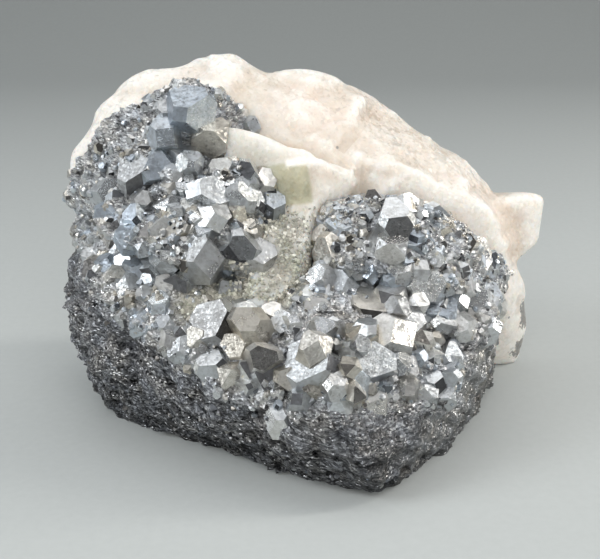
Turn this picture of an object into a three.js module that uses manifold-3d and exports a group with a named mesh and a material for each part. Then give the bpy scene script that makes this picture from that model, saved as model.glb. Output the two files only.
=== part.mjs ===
// A hand-sized mineral specimen: a block of dark metallic skutterudite whose sloping upper face
// is a crust of bright cubic crystals, grown together with a mass of white calcite that forms
// the ridge and the whole back. It stands on a flat broken base.
//
// Millimetres, +Z up, +X to the viewer's right, the crystal face towards -Y. The origin is the
// middle of the flat base.
import * as THREE from 'three';
import { ConvexHull } from 'three/addons/math/ConvexHull.js';
import { ConvexGeometry } from 'three/addons/geometries/ConvexGeometry.js';
import { mergeVertices } from 'three/addons/utils/BufferGeometryUtils.js';
import Module from 'manifold-3d';

const wasm = await Module();
wasm.setup();

// Driving sizes. A crystal's size is how far its octahedron reaches before its points are cut.
const CRYSTAL_SIZE = 3.9;
const CRYSTAL_SPREAD = 1.0;
const CRYSTAL_SPACING = 1.2 * CRYSTAL_SIZE;
const LEDGE_THICKNESS = 6.2;
const LEDGE_DEPTH = 1.5;
const ROOT_RADIUS = 9;
const SEAM_GAP = 0.45;

// How finely the two bodies are divided, and how much a small facet may be smoothed away.
const BODY_DETAIL = 8;
const FACET_TOLERANCE = 0.12;

// Every surface is measured outwards from this point inside the stone.
const HEART = new THREE.Vector3(0, 2, 21);

// Each mineral is a few blocks grown into one another. A block is the rounded hull of its
// corners and of a small root round the heart, so that only its outer end shows. The lowest
// corners lie under the ground, where the stone is broken off flat.
const ORE_BLOCKS = {
  // The broken foot, the flank round it and the ground of the crystal face.
  foot: [
    [-10, -26, -2], [0, -31, -2], [11, -37.5, -2], [17, -32, -2], [23, -26, -2], [29, -14, -2],
    [34, -2, -2], [26, 12, -2], [-4, 14, -2], [-33, 9, -2], [-33, -6, -2], [-27, -13, -2],
    [-19, -21, -2], [-37, -8, 6], [-38, -15, 11], [-40, -12, 20], [-40, -7, 28], [-32, -20, 25],
    [-24, -28, 17], [-16, -34, 12], [-7, -39, 11], [9, -43, 8], [12, -43, 3], [18, -38, 8],
    [24, -30, 13], [29, -23, 17], [34, -11, 21], [36, 0, 10], [35, 5, 2],
    [5, -34, 18], [-14, -24, 25], [14, -24, 22], [34, 2, 22], [-38, 4, 30], [-38, 12, 16],
    [-36, 0, 36], [-18, -2, 40], [0, 0, 34], [24, 0, 30], [0, 18, 20],
  ],
  // Steep cluster at the upper left.
  upperCluster: [
    [-39, -2, 34], [-38, -3, 42], [-35, -4, 47], [-28, -4, 53], [-20, -3, 57], [-12, -1, 54],
    [-14, -6, 49], [-24, -10, 44], [-35, -8, 37], [-30, -12, 36],
  ],
  // Middle cluster, below it.
  middleCluster: [
    [-20, -11, 44], [-12, -10, 45], [-7, -9, 43], [-2, -10, 38], [-4, -14, 33],
    [-10, -21, 30], [-20, -22, 31], [-31, -16, 34], [-34, -12, 36], [-30, -12, 37],
  ],
  // Mound on the right.
  rightMound: [
    [2, -9, 35], [8, -9, 38], [17, -9, 38], [26, -8, 34], [33, -6, 28], [37, -4, 23],
    [33, -12, 21], [22, -19, 26], [9, -19, 29], [3, -16, 30],
  ],
};

const CALCITE_BLOCKS = {
  // The ridge and the whole back.
  ridge: [
    [-42, 3, 36], [-41, 4, 44], [-37, 6, 50], [-33, 7, 54.5], [-25, 8, 57.5], [-15, 10, 60],
    [-7, 12, 57], [0, 12, 57], [10, 14, 53], [20, 14, 47], [31, 13, 39.5], [36, 11, 36],
    [39, 10, 26], [41, 11, 18], [44, 11, 13], [45.5, 11, 6], [43, 10, -2],
    [-41, 0, 38], [-37, 1, 46], [-30, 2, 52], [-14, 2, 53], [12, -3, 44], [30, -2, 36],
    [36, -1, 29], [37, 2, 14],
    [-38, 16, 28], [-34, 18, 46], [-14, 22, 52], [10, 23, 45], [30, 21, 32],
    [38, 18, 12], [30, 22, -2], [2, 25, -2], [-24, 20, -2], [-35, 15, 4], [0, 27, 22],
  ],
  // Rounded crystals between the clusters.
  saddle: [
    [-16, -4, 50], [-9, -6, 49], [0, -8, 44], [3, -9, 38], [-4, -9, 38], [-13, -7, 44],
    [10, -5, 42],
  ],
  // Tongue that runs down the channel between the middle cluster and the mound.
  tongue: [
    [-5, -8, 39], [3, -8, 39], [1, -11.5, 35], [-4, -12, 35], [0, -16, 30.5], [-4, -16.5, 30.5],
    [-1, -20, 26.5], [-5, -20.5, 26.5], [-9, -23, 25], [-6, -24.3, 23.2],
  ],
};

// Swells and hollows: where, how high, and how far they spread.
const ORE_SWELLS = [
  { at: [6, -34, 17], height: 2, spread: 10 },
  { at: [-2, -11, 35], height: -5, spread: 6 },
  { at: [-2, -17, 30], height: -4.5, spread: 5 },
  { at: [-7, -23, 27], height: -3, spread: 5 },
  { at: [-14, -21, 29], height: -3.5, spread: 4 },
  { at: [-4, -38, 14], height: -2, spread: 4 },
];
const CALCITE_SWELLS = [
  { at: [-6, 12, 56], height: -1.5, spread: 4 },
  { at: [-8, -4, 48], height: 0.8, spread: 5 },
];

// Blocks that stand out further than the rest: their own corners, joined on.
const FOOT_NUB = [
  [-36, -11, 5], [-33.5, -14, 4.5], [-29, -16.5, 2.5], [-24, -18, 0], [-34.5, -9, 0],
  [-30, -14.5, 0], [-28, -10, 8], [-35.5, -9, 7.5], [-22, -12, 0],
];
const RIDGE_HORN = [
  [37, 6, 33], [39.5, 5.5, 35], [44, 7, 34.5], [45, 10, 33.5], [43.5, 14, 33], [38, 15, 33],
  [36, 5, 24], [42, 6, 23], [44, 10, 24], [41, 15, 21], [33, 12, 22],
];

// Calcite cleaves into rhombs. Each has a place, where its outermost corner stands a little
// proud of the mass, and the lengths of its three edges.
const FRONT_RHOMBS = [
  { at: [-16.5, 10, 54], edges: [11, 9, 9] },
  { at: [-3, 11.5, 51.5], edges: [9, 9, 10] },
  { at: [8, 11, 46.5], edges: [12, 9, 9] },
  { at: [20, 11, 40.5], edges: [12, 10, 9] },
  { at: [-1.5, -5, 40], edges: [7, 6, 7] },
  { at: [8, -0.5, 42], edges: [9, 7, 6] },
  { at: [16, 0.5, 39], edges: [7, 8, 6] },
  { at: [27, 3, 34.5], edges: [9, 7, 7] },
  { at: [36, 5, 24], edges: [8, 9, 8] },
  { at: [38, 8, 12], edges: [9, 9, 10] },
  { at: [-39, 6, 37], edges: [7, 6, 8] },
];
const BACK_RHOMBS = [
  { at: [-27, 15, 42], edges: [15, 11, 12] },
  { at: [-7, 19, 45], edges: [13, 13, 11] },
  { at: [14, 19, 36], edges: [14, 12, 12] },
  { at: [31, 16, 26], edges: [12, 11, 12] },
  { at: [-31, 13, 22], edges: [12, 13, 11] },
  { at: [-10, 20, 22], edges: [15, 12, 14] },
  { at: [14, 20, 15], edges: [14, 15, 11] },
];
const FRONT_TURN = [62, 8, 24];
const BACK_TURN = [-50, 14, 200];
const TURN_SPREAD = 14;
const RHOMB_PROUD = 1.3;

// The crystals stand on the part of the ore above a sloping plane through the rim. Places on
// the face are given across it and up it, in millimetres from its middle.
const RIM_POINT = new THREE.Vector3(10, -39, 9);
const RIM_NORMAL = new THREE.Vector3(0.105, -0.392, 0.914).normalize();
const FACE_OUT = new THREE.Vector3(0, -0.64, 0.77).normalize();
const FACE_ACROSS = new THREE.Vector3(1, 0, 0);
const FACE_UP = new THREE.Vector3().crossVectors(FACE_OUT, FACE_ACROSS).normalize();
const FACE_MIDDLE = new THREE.Vector3(0, -12, 26);

// The large crystals, each [across, up, size, cut], grouped by where their broadest face looks.
const LARGE_CRYSTALS = [
  { // Faces that lie back to the sky.
    looks: [0, -0.45, 0.89],
    spots: [
      [-19, 22.5, 6.4, 0.74], [-23, 18.4, 5.2, 0.6], [-11.5, 6.2, 4.8, 0.67], [-9, 3, 3.8, 0.6],
      [-32, 6.8, 3, 0.55], [-23.5, -9.5, 4.2, 0.6], [16, 6, 7.4, 0.6], [17, -1.3, 5, 0.64],
      [25, 0.6, 5.2, 0.6], [28, -1.5, 3.4, 0.6], [-15.5, -11.2, 5.2, 0.6], [-4.8, -12.6, 3.8, 0.62],
      [6, -28, 4.8, 0.58], [11.3, -27.6, 4.8, 0.62], [-3, -29.8, 4, 0.6], [20, -15.8, 4, 0.6],
      [19.5, -7.6, 4.8, 0.62], [21, -22, 3.6, 0.6], [-7.5, -19.5, 3.8, 0.6],
    ],
  },
  { // Faces that look up and to the left.
    looks: [-0.36, -0.6, 0.71],
    spots: [
      [-27, 12.6, 5.8, 0.76], [-17.5, -2.4, 7.2, 0.56], [-13.5, -15.4, 7.8, 0.62],
      [-2, -15, 4.6, 0.6], [2, -24, 7.2, 0.74], [-29, 4.4, 4.8, 0.58], [7, -6, 5.2, 0.66],
      [14.5, -17.2, 8.2, 0.62], [31.5, 1.6, 5, 0.62],
    ],
  },
  { // Faces that look up and to the right.
    looks: [0.4, -0.62, 0.68],
    spots: [
      [-15.8, 8.2, 6.4, 0.66], [13, 0.2, 5.8, 0.78], [-8.4, -1.2, 6, 0.6], [21.2, 1.4, 5.4, 0.6],
      [-25, -2.8, 5.6, 0.6], [-6, 9.2, 4.8, 0.6], [9.8, -22.4, 6.6, 0.72], [17.2, -12.4, 5.2, 0.64],
      [5.8, 0, 5, 0.72], [-10, -11.2, 5, 0.64],
    ],
  },
  { // Cubes with a bright top and a dark front.
    looks: [0.08, -0.3, 0.95],
    spots: [
      [-15.5, 19.4, 6.4, 0.44], [24, -9.8, 7.6, 0.42], [-5.6, 2.2, 6, 0.46], [3, -17.4, 7, 0.44],
      [12, -11, 6.8, 0.46], [-20, 15.4, 5.2, 0.44], [-29, -5.6, 5.2, 0.46],
    ],
  },
  { // Faces turned to the viewer.
    looks: [0.1, -0.9, 0.42],
    spots: [
      [-23.8, 13.2, 4.8, 0.76], [-32, 11.2, 5.8, 0.66], [-28, 9.4, 4.8, 0.64], [-13, -6.2, 6, 0.48],
      [22, -5, 6.2, 0.62], [-4.8, -23.2, 5.6, 0.62], [8, -25.6, 5.8, 0.64], [16.6, -21.6, 4.8, 0.6],
      [30, -4.5, 4.8, 0.62],
    ],
  },
];
const LARGE_SINK = 0.22;
const SCATTERED_SINK = 0.32;

// The planes of a block's hull, the broadest first. A plane within a few degrees of one that
// is already kept belongs to the same face.
const SAME_FACE = Math.cos(THREE.MathUtils.degToRad(7));
const ROOT = [
  [ROOT_RADIUS, 0, 0], [-ROOT_RADIUS, 0, 0], [0, ROOT_RADIUS, 0],
  [0, -ROOT_RADIUS, 0], [0, 0, ROOT_RADIUS], [0, 0, -ROOT_RADIUS],
];

function planesOf(corners) {
  const points = ROOT.map((corner) => new THREE.Vector3(...corner));
  points.push(...corners.map((corner) => new THREE.Vector3(...corner).sub(HEART)));
  const faces = new ConvexHull().setFromPoints(points).faces.sort((a, b) => b.area - a.area);
  const planes = [];
  for (const face of faces) {
    const known = planes.some((plane) => plane.normal.dot(face.normal) > SAME_FACE);
    if (!known) planes.push({ normal: face.normal.clone(), distance: face.constant });
  }
  return planes;
}

// How far the rounded hull reaches along a direction: the p-norm of the planes' closeness is
// their softened intersection, and a high power keeps the edges crisp.
const EDGE_POWER = 40;

function hullReach(planes, direction) {
  let sum = 0;
  for (const { normal, distance } of planes) {
    const closeness = Math.max(0, normal.dot(direction) / distance);
    sum += closeness ** EDGE_POWER;
  }
  return sum ** (-1 / EDGE_POWER);
}

function swell(swells, point) {
  let sum = 0;
  for (const { at, height, spread } of swells) {
    const apart = point.distanceToSquared(new THREE.Vector3(...at));
    sum += height * Math.exp(-apart / spread ** 2);
  }
  return sum;
}

// Gentle lumps from crossed waves of about one wavelength.
function lumps(point, wavelength) {
  const k = (2 * Math.PI) / wavelength;
  const { x, y, z } = point;
  const first = Math.sin(k * (x + 0.4 * y) + 1.3) * Math.sin(k * (y - 0.3 * z) + 0.7);
  const second = Math.sin(k * (z + 0.5 * x) + 2.1) * Math.sin(0.8 * k * (y + z) + 4.2);
  return first + second;
}

function aboveRim(point) {
  return point.clone().sub(RIM_POINT).dot(RIM_NORMAL);
}

// The flank below the rim is broken along layers that lie parallel to the rim. Each layer
// stands out at its foot and draws in towards its top.
function ledges(point) {
  const above = aboveRim(point);
  const layer = above / LEDGE_THICKNESS + 0.3 * lumps(point, 26);
  const share = THREE.MathUtils.clamp((1 - above) / 4, 0, 1);
  return LEDGE_DEPTH * share * (0.5 - (layer - Math.floor(layer)));
}

const orePlanes = Object.values(ORE_BLOCKS).map(planesOf);
const calcitePlanes = Object.values(CALCITE_BLOCKS).map(planesOf);

function blocksReach(blocks, direction) {
  return Math.max(...blocks.map((planes) => hullReach(planes, direction)));
}

function pointAlong(direction, reach) {
  return direction.clone().multiplyScalar(reach).add(HEART);
}

function oreReach(direction) {
  const smooth = blocksReach(orePlanes, direction);
  const point = pointAlong(direction, smooth);
  return smooth + swell(ORE_SWELLS, point) + ledges(point)
    + 0.5 * lumps(point, 13) + 0.3 * lumps(point, 5.3);
}

function calciteReach(direction) {
  const smooth = blocksReach(calcitePlanes, direction);
  const point = pointAlong(direction, smooth);
  return smooth + swell(CALCITE_SWELLS, point) + 0.5 * lumps(point, 17) + 0.25 * lumps(point, 7.1);
}

function solidOf(positions, indices) {
  const mesh = new wasm.Mesh({
    numProp: 3,
    vertProperties: new Float32Array(positions),
    triVerts: new Uint32Array(indices),
  });
  return new wasm.Manifold(mesh);
}

function mergedShape(geometry) {
  geometry.deleteAttribute('normal');
  geometry.deleteAttribute('uv');
  return mergeVertices(geometry, 1e-4);
}

function solidOfCorners(corners) {
  const merged = mergedShape(new ConvexGeometry(corners));
  return solidOf(merged.attributes.position.array, merged.index.array);
}

function solidOfList(corners) {
  return solidOfCorners(corners.map((corner) => new THREE.Vector3(...corner)));
}

// A ball of even triangles, each corner moved out to reach(direction), broken off flat at the
// ground.
const ball = mergedShape(new THREE.IcosahedronGeometry(1, BODY_DETAIL));

function bodyOf(reach) {
  const positions = [];
  const corner = new THREE.Vector3();
  for (let i = 0; i < ball.attributes.position.count; i++) {
    const direction = corner.fromBufferAttribute(ball.attributes.position, i).clone().normalize();
    positions.push(...pointAlong(direction, reach(direction)).toArray());
  }
  return solidOf(positions, ball.index.array);
}

function brokenFlat(solid) {
  return solid.trimByPlane([0, 0, 1], 0);
}

// Repeatable scatter between 0 and 1.
function scatter(index, salt) {
  const wave = Math.sin(index * 12.9898 + salt * 78.233) * 43758.5453;
  return wave - Math.floor(wave);
}

// Skutterudite's cubic habit: an octahedron whose six points are cut off by a cube, at `cut` of
// their length. Below a half the cube's faces meet each other.
function habitCorners(cut) {
  const small = cut >= 0.5 ? 0 : cut;
  const large = cut >= 0.5 ? 1 - cut : 1 - 2 * cut;
  const lengths = cut >= 0.5 ? [cut, large, small] : [cut, small, large];
  const corners = [];
  for (const [i, j, k] of [[0, 1, 2], [1, 2, 0], [2, 0, 1], [0, 2, 1], [2, 1, 0], [1, 0, 2]]) {
    for (const a of [-1, 1]) for (const b of [-1, 1]) for (const c of [-1, 1]) {
      corners.push(new THREE.Vector3(a * lengths[i], b * lengths[j], c * lengths[k]));
    }
  }
  return corners;
}

// A crystal turned so that its broadest kind of face looks along `looks`.
const OCTAHEDRON_FACE = new THREE.Vector3(1, 1, 1).normalize();
const CUBE_FACE = new THREE.Vector3(0, 0, 1);

function crystalSolid({ centre, size, cut, looks, spin, stretch }, grow = 0) {
  const face = cut > 0.5 ? OCTAHEDRON_FACE : CUBE_FACE;
  const turn = new THREE.Quaternion().setFromAxisAngle(looks, spin);
  turn.multiply(new THREE.Quaternion().setFromUnitVectors(face, looks));
  const corners = habitCorners(cut).map((corner) => corner
    .multiply(stretch)
    .multiplyScalar(size + grow)
    .applyQuaternion(turn)
    .add(centre));
  return solidOfCorners(corners);
}

// The ore's surface on the line through a spot of the sloping face.
const SEARCH_FROM = 30;
const SEARCH_TO = -25;
const SEARCH_STEP = 0.5;

function onOre(across, up) {
  const foot = FACE_MIDDLE.clone().addScaledVector(FACE_ACROSS, across).addScaledVector(FACE_UP, up);
  for (let height = SEARCH_FROM; height > SEARCH_TO; height -= SEARCH_STEP) {
    const point = foot.clone().addScaledVector(FACE_OUT, height);
    const out = point.clone().sub(HEART);
    const distance = out.length();
    if (distance < oreReach(out.divideScalar(distance))) return point;
  }
  return null;
}

function crystalAt(across, up, size, cut, looks, index, sink) {
  const point = onOre(across, up);
  if (!point) return null;
  const out = point.clone().sub(HEART).normalize();
  return {
    across,
    up,
    size,
    cut,
    centre: point.clone().addScaledVector(out, -sink * size),
    above: aboveRim(point),
    buried: calciteReach(out) - oreReach(out),
    looks: looks ?? wanderingLook(out, index),
    spin: 2 * Math.PI * scatter(index, 7),
    stretch: new THREE.Vector3(1 + 0.22 * scatter(index, 8), 1, 1 - 0.18 * scatter(index, 9)),
  };
}

// Most crystals look outwards, each a little astray.
const STRAY = 1.1;

function wanderingLook(out, index) {
  const stray = new THREE.Vector3(scatter(index, 10), scatter(index, 11), scatter(index, 12));
  return stray.subScalar(0.5).multiplyScalar(2 * STRAY).add(out).normalize();
}

function largeCrystals() {
  const crystals = [];
  for (const { looks, spots } of LARGE_CRYSTALS) {
    const direction = new THREE.Vector3(...looks).normalize();
    for (const [across, up, size, cut] of spots) {
      const index = 1000 + crystals.length;
      crystals.push(crystalAt(across, up, size, cut, direction, index, LARGE_SINK));
    }
  }
  return crystals;
}

// The rest of the crust: a jittered honeycomb over the face, with room left for the large ones.
const HONEYCOMB = 9;
const ROW_HEIGHT = 0.87;
const ROOM = 0.58;

function scatteredCrystals(large) {
  const crystals = [];
  let index = 0;
  for (let row = -HONEYCOMB; row <= HONEYCOMB; row++) {
    for (let column = -HONEYCOMB; column <= HONEYCOMB; column++) {
      index += 1;
      const jitter = [0.5 * (scatter(index, 1) - 0.5), 0.6 * (scatter(index, 2) - 0.5)];
      const across = CRYSTAL_SPACING * (column + 0.5 * (row & 1) + jitter[0]);
      const up = CRYSTAL_SPACING * ROW_HEIGHT * (row + jitter[1]);
      const size = CRYSTAL_SIZE + CRYSTAL_SPREAD * (2 * scatter(index, 3) - 1);
      const crowded = large.some((other) =>
        Math.hypot(other.across - across, other.up - up) < ROOM * (other.size + size));
      if (crowded) continue;
      const cut = 0.42 + 0.38 * scatter(index, 4);
      const crystal = crystalAt(across, up, size, cut, null, index, SCATTERED_SINK);
      if (crystal && crystal.above > 0.5 && crystal.buried < 1) crystals.push(crystal);
    }
  }
  return crystals;
}

// Calcite's cleavage rhomb: three equal axes, leaning out from its long axis by this angle.
const CLEAVAGE_LEAN = Math.acos(0.4427);

function rhombSolid({ at, edges }, turn, index) {
  const spread = [1, 2, 3].map((salt) => TURN_SPREAD * (2 * scatter(index, salt) - 1));
  const degrees = turn.map((angle, i) => THREE.MathUtils.degToRad(angle + spread[i]));
  const axes = [0, 1, 2].map((k) => new THREE.Vector3()
    .setFromSphericalCoords(1, CLEAVAGE_LEAN, (2 * Math.PI * k) / 3)
    .applyEuler(new THREE.Euler(...degrees)));
  const out = new THREE.Vector3(...at).sub(HEART).normalize();
  const halfReach = axes.reduce((sum, axis, k) => sum + 0.5 * edges[k] * Math.abs(axis.dot(out)), 0);
  const centre = pointAlong(out, calciteReach(out) + RHOMB_PROUD - halfReach);
  const corners = [];
  for (const a of [-0.5, 0.5]) for (const b of [-0.5, 0.5]) for (const c of [-0.5, 0.5]) {
    corners.push(centre.clone()
      .addScaledVector(axes[0], a * edges[0])
      .addScaledVector(axes[1], b * edges[1])
      .addScaledVector(axes[2], c * edges[2]));
  }
  return solidOfCorners(corners);
}

// The main body alone, without loose crumbs or sealed pockets.
function mainBody(solid) {
  const bodies = solid.simplify(FACET_TOLERANCE).decompose();
  return bodies.sort((a, b) => b.volume() - a.volume())[0];
}

function skutterudite(crystals, grow) {
  return brokenFlat(wasm.Manifold.union([
    bodyOf((direction) => oreReach(direction) + grow),
    solidOfList(FOOT_NUB),
    ...crystals.map((crystal) => crystalSolid(crystal, grow)),
  ]));
}

function calcite() {
  return brokenFlat(wasm.Manifold.union([
    bodyOf(calciteReach),
    solidOfList(RIDGE_HORN),
    ...FRONT_RHOMBS.map((rhomb, i) => rhombSolid(rhomb, FRONT_TURN, i + 1)),
    ...BACK_RHOMBS.map((rhomb, i) => rhombSolid(rhomb, BACK_TURN, i + 50)),
  ]));
}

const large = largeCrystals();
const crystals = [...large, ...scatteredCrystals(large)];
const ore = mainBody(skutterudite(crystals, 0));
const mass = mainBody(calcite().subtract(skutterudite(crystals, SEAM_GAP)));

const skutteruditeMetal = new THREE.MeshStandardMaterial({ color: 0x7d8084, metalness: 1, roughness: 0.35 });
const calciteWhite = new THREE.MeshStandardMaterial({ color: 0xece4d8, metalness: 0, roughness: 0.5 });

function piece(name, solid, material) {
  const mesh = solid.getMesh();
  const geometry = new THREE.BufferGeometry();
  geometry.setAttribute('position', new THREE.BufferAttribute(mesh.vertProperties, 3));
  geometry.setIndex(new THREE.BufferAttribute(mesh.triVerts, 1));
  const object = new THREE.Mesh(geometry, material);
  object.name = name;
  return object;
}

const specimen = new THREE.Group();
specimen.add(piece('skutterudite', ore, skutteruditeMetal));
specimen.add(piece('calcite', mass, calciteWhite));

export default specimen;
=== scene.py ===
# %% [markdown]
# # Skutterudite with calcite
# This lesson dresses a hand-sized mineral specimen. Its dark block of ore ends in a sloping
# face of bright metallic crystals, and a mass of milky calcite forms its ridge and back. The
# frame holds the two solids at their real size. Everything made here lies on the same
# surfaces, worked out again by the same formulas and carried on into finer detail.

# %% Load the frame
import itertools
import math

import bpy
import numpy as np
from mathutils import Matrix, Vector


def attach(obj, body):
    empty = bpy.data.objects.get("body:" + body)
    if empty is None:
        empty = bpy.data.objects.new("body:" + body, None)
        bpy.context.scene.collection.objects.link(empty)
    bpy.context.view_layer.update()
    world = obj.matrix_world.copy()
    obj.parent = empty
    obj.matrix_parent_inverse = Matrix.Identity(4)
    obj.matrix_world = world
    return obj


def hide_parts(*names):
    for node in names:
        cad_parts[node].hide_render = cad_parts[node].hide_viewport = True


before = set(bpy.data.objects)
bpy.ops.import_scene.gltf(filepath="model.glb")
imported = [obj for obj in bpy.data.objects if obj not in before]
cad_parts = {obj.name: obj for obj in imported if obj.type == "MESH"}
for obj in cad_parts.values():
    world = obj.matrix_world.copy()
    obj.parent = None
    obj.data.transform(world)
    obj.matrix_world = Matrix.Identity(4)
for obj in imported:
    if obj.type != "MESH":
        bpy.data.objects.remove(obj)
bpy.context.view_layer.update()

MM = 0.001

# %% [markdown]
# ## The camera
# A close view from a little above the stone, with a short telephoto lens, which keeps the sides
# nearly parallel. Straight edges that run to two vanishing points fix a camera's tilt and focal
# length, and a measured camera is better than one set by eye, because every crystal then lands
# where the eye expects it.

# %% Camera
SENSOR = 36.0
PICTURE_WIDTH = 600
FOCAL_PIXELS = 1111.0
CAMERA_PLACE = (0.0, -186.5, 87.0)
CAMERA_TILT = 19.6

camera_data = bpy.data.cameras.new("camera")
camera_data.sensor_width = SENSOR
camera_data.lens = SENSOR * FOCAL_PIXELS / PICTURE_WIDTH
camera_data.clip_start = 0.005
camera = bpy.data.objects.new("camera", camera_data)
camera.location = Vector(CAMERA_PLACE) * MM
camera.rotation_euler = (math.radians(90 - CAMERA_TILT), 0, 0)
bpy.context.scene.collection.objects.link(camera)
bpy.context.scene.camera = camera
print("lens", round(camera_data.lens, 2), "mm")

# %% [markdown]
# ## From arrays to meshes
# Every piece below is a set of points and a set of faces, worked out as whole arrays. Blender
# takes such arrays at once with `foreach_set`, which is much faster than adding vertices one at
# a time. A mesh can also carry numbers for each face corner, such as a colour, and the
# materials read those later.

# %% Mesh helper
def add_mesh(name, points, face_blocks, smooth):
    """A mesh object from points in millimetres and blocks of faces. Each block is an array with
    one row of point numbers for each face, so all the faces of a block have as many corners."""
    mesh = bpy.data.meshes.new(name)
    loops = np.concatenate([block.ravel() for block in face_blocks])
    sizes = np.concatenate([np.full(len(block), block.shape[1]) for block in face_blocks])
    starts = np.concatenate([[0], np.cumsum(sizes)[:-1]])
    mesh.vertices.add(len(points))
    mesh.vertices.foreach_set("co", (points * MM).astype(np.float32).ravel())
    mesh.loops.add(len(loops))
    mesh.loops.foreach_set("vertex_index", loops.astype(np.int32))
    mesh.polygons.add(len(sizes))
    mesh.polygons.foreach_set("loop_start", starts.astype(np.int32))
    mesh.polygons.foreach_set("use_smooth", np.full(len(sizes), smooth))
    mesh.update(calc_edges=True)
    piece = bpy.data.objects.new(name, mesh)
    bpy.context.scene.collection.objects.link(piece)
    print(name, "has", len(points), "points and", len(sizes), "faces")
    return piece


def as_colours(red, green, blue):
    """Three numbers for each row, as colours with full alpha."""
    return np.stack([red, green, blue, np.ones(len(red))], 1)


def paint_corners(piece, name, colours, sizes):
    """Gives each face one colour, repeated for every corner of it."""
    layer = piece.data.attributes.new(name, "FLOAT_COLOR", "CORNER")
    layer.data.foreach_set("color", np.repeat(colours, sizes, axis=0).astype(np.float32).ravel())


def paint_points(piece, name, red, green, blue):
    """Gives each point a colour made of three numbers."""
    layer = piece.data.attributes.new(name, "FLOAT_COLOR", "POINT")
    layer.data.foreach_set("color", as_colours(red, green, blue).astype(np.float32).ravel())


# %% [markdown]
# ## From code to nodes
# The sky and every finish are trees of nodes. Made one by one, each node takes several lines:
# make it, set it, link each socket. One helper does all three, and the others give short names
# to the sums, ramps and mixes that come back most.

# %% Node helpers
def add_node(tree, kind, inputs=None, **settings):
    """Adds a node, gives it its settings, and sets or links its sockets."""
    node = tree.nodes.new(kind)
    for key, value in settings.items():
        setattr(node, key, value)
    for key, value in (inputs or {}).items():
        if isinstance(value, bpy.types.NodeSocket):
            tree.links.new(value, node.inputs[key])
        else:
            node.inputs[key].default_value = value
    return node


def add_ramp(tree, factor, stops):
    """A colour ramp from stops of position and colour."""
    ramp = add_node(tree, "ShaderNodeValToRGB", {"Fac": factor})
    elements = ramp.color_ramp.elements
    while len(elements) < len(stops):
        elements.new(0.5)
    for element, (position, colour) in zip(elements, stops):
        element.position = position
        element.color = (*colour, 1)
    return ramp.outputs["Color"]


def math_node(tree, operation, first, second, clamp=False):
    """One sum of two values."""
    return add_node(tree, "ShaderNodeMath", {0: first, 1: second}, operation=operation,
                    use_clamp=clamp).outputs[0]


def vector_node(tree, operation, first, second):
    """One sum of two vectors. Returns the node, because its result is a Vector or a Value."""
    return add_node(tree, "ShaderNodeVectorMath", {0: first, 1: second}, operation=operation)


def remap(tree, value, low, high, start=0.0, stop=1.0):
    """A value between start and stop, carried over to between low and high."""
    return add_node(tree, "ShaderNodeMapRange", {
        "Value": value, "From Min": start, "From Max": stop, "To Min": low, "To Max": high,
    }).outputs["Result"]


def mix_colours(tree, factor, first, second, blend="MIX"):
    """Two colours mixed by a factor."""
    return add_node(tree, "ShaderNodeMix", {0: factor, 6: first, 7: second},
                    data_type="RGBA", blend_type=blend).outputs[2]


def tinted(tree, colour, tint, share=1.0):
    """A colour multiplied by a tint, wholly or by a share."""
    return mix_colours(tree, share, colour, tint, "MULTIPLY")


def split(tree, colour):
    """The red, green and blue of a colour."""
    parts = add_node(tree, "ShaderNodeSeparateColor", {"Color": colour})
    return [parts.outputs[name] for name in ("Red", "Green", "Blue")]


def attribute_parts(tree, name):
    """The three numbers that a mesh carries in one of its attributes."""
    return split(tree, add_node(tree, "ShaderNodeAttribute", attribute_name=name).outputs["Color"])


# %% [markdown]
# ## Floor and backdrop
# A product photograph stands its object on a sheet that curves up behind it, so there is no
# horizon line. The sheet is a profile carried sideways: a flat stretch, a quarter circle and a
# wall.

# %% Sweep
SWEEP_HALF_WIDTH = 900.0
FLOOR_FRONT = -700.0
BEND_START = 330.0
BEND_RADIUS = 260.0
WALL_HEIGHT = 900.0
BEND_STEPS = 24

bend = np.linspace(0, math.pi / 2, BEND_STEPS)
profile = np.concatenate([
    [[FLOOR_FRONT, 0.0]],
    np.stack([BEND_START + BEND_RADIUS * np.sin(bend), BEND_RADIUS * (1 - np.cos(bend))], 1),
    [[BEND_START + BEND_RADIUS, WALL_HEIGHT]],
])
sides = np.array([-SWEEP_HALF_WIDTH, SWEEP_HALF_WIDTH])
sweep_points = np.array([[x, y, z] for y, z in profile for x in sides])
row = np.arange(len(profile) - 1)[:, None] * 2
sweep = add_mesh("floor_sweep", sweep_points, [row + np.array([0, 1, 3, 2])], True)

# %% [markdown]
# ## Light
# Metal shows nothing but what it mirrors, so the light is built as a room: a broad soft light
# above and a little behind, which lights the faces that lie back, a window on the left, and a
# pale sky that is dim near the ground. That contrast makes crystals glitter. The pale calcite
# has no such mirror, and it needs light from the front as well. The front lamp is kept out of
# reflections for that, so the faces turned forward stay grey. For the same reason the sky has
# two strengths. It is brighter in a mirror than as spread light, so the metal is bright while
# the calcite and the paper keep their shading.

# %% Lamps
def add_area_lamp(name, place, target, width, height, watts, colour):
    """A rectangular lamp at a place in millimetres, turned to face a target."""
    data = bpy.data.lights.new(name, "AREA")
    data.shape = "RECTANGLE"
    data.size = width * MM
    data.size_y = height * MM
    data.energy = watts
    data.color = colour
    lamp = bpy.data.objects.new(name, data)
    lamp.location = Vector(place) * MM
    aim = Vector(target) - Vector(place)
    lamp.rotation_euler = aim.to_track_quat("-Z", "Y").to_euler()
    bpy.context.scene.collection.objects.link(lamp)
    return lamp


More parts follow.
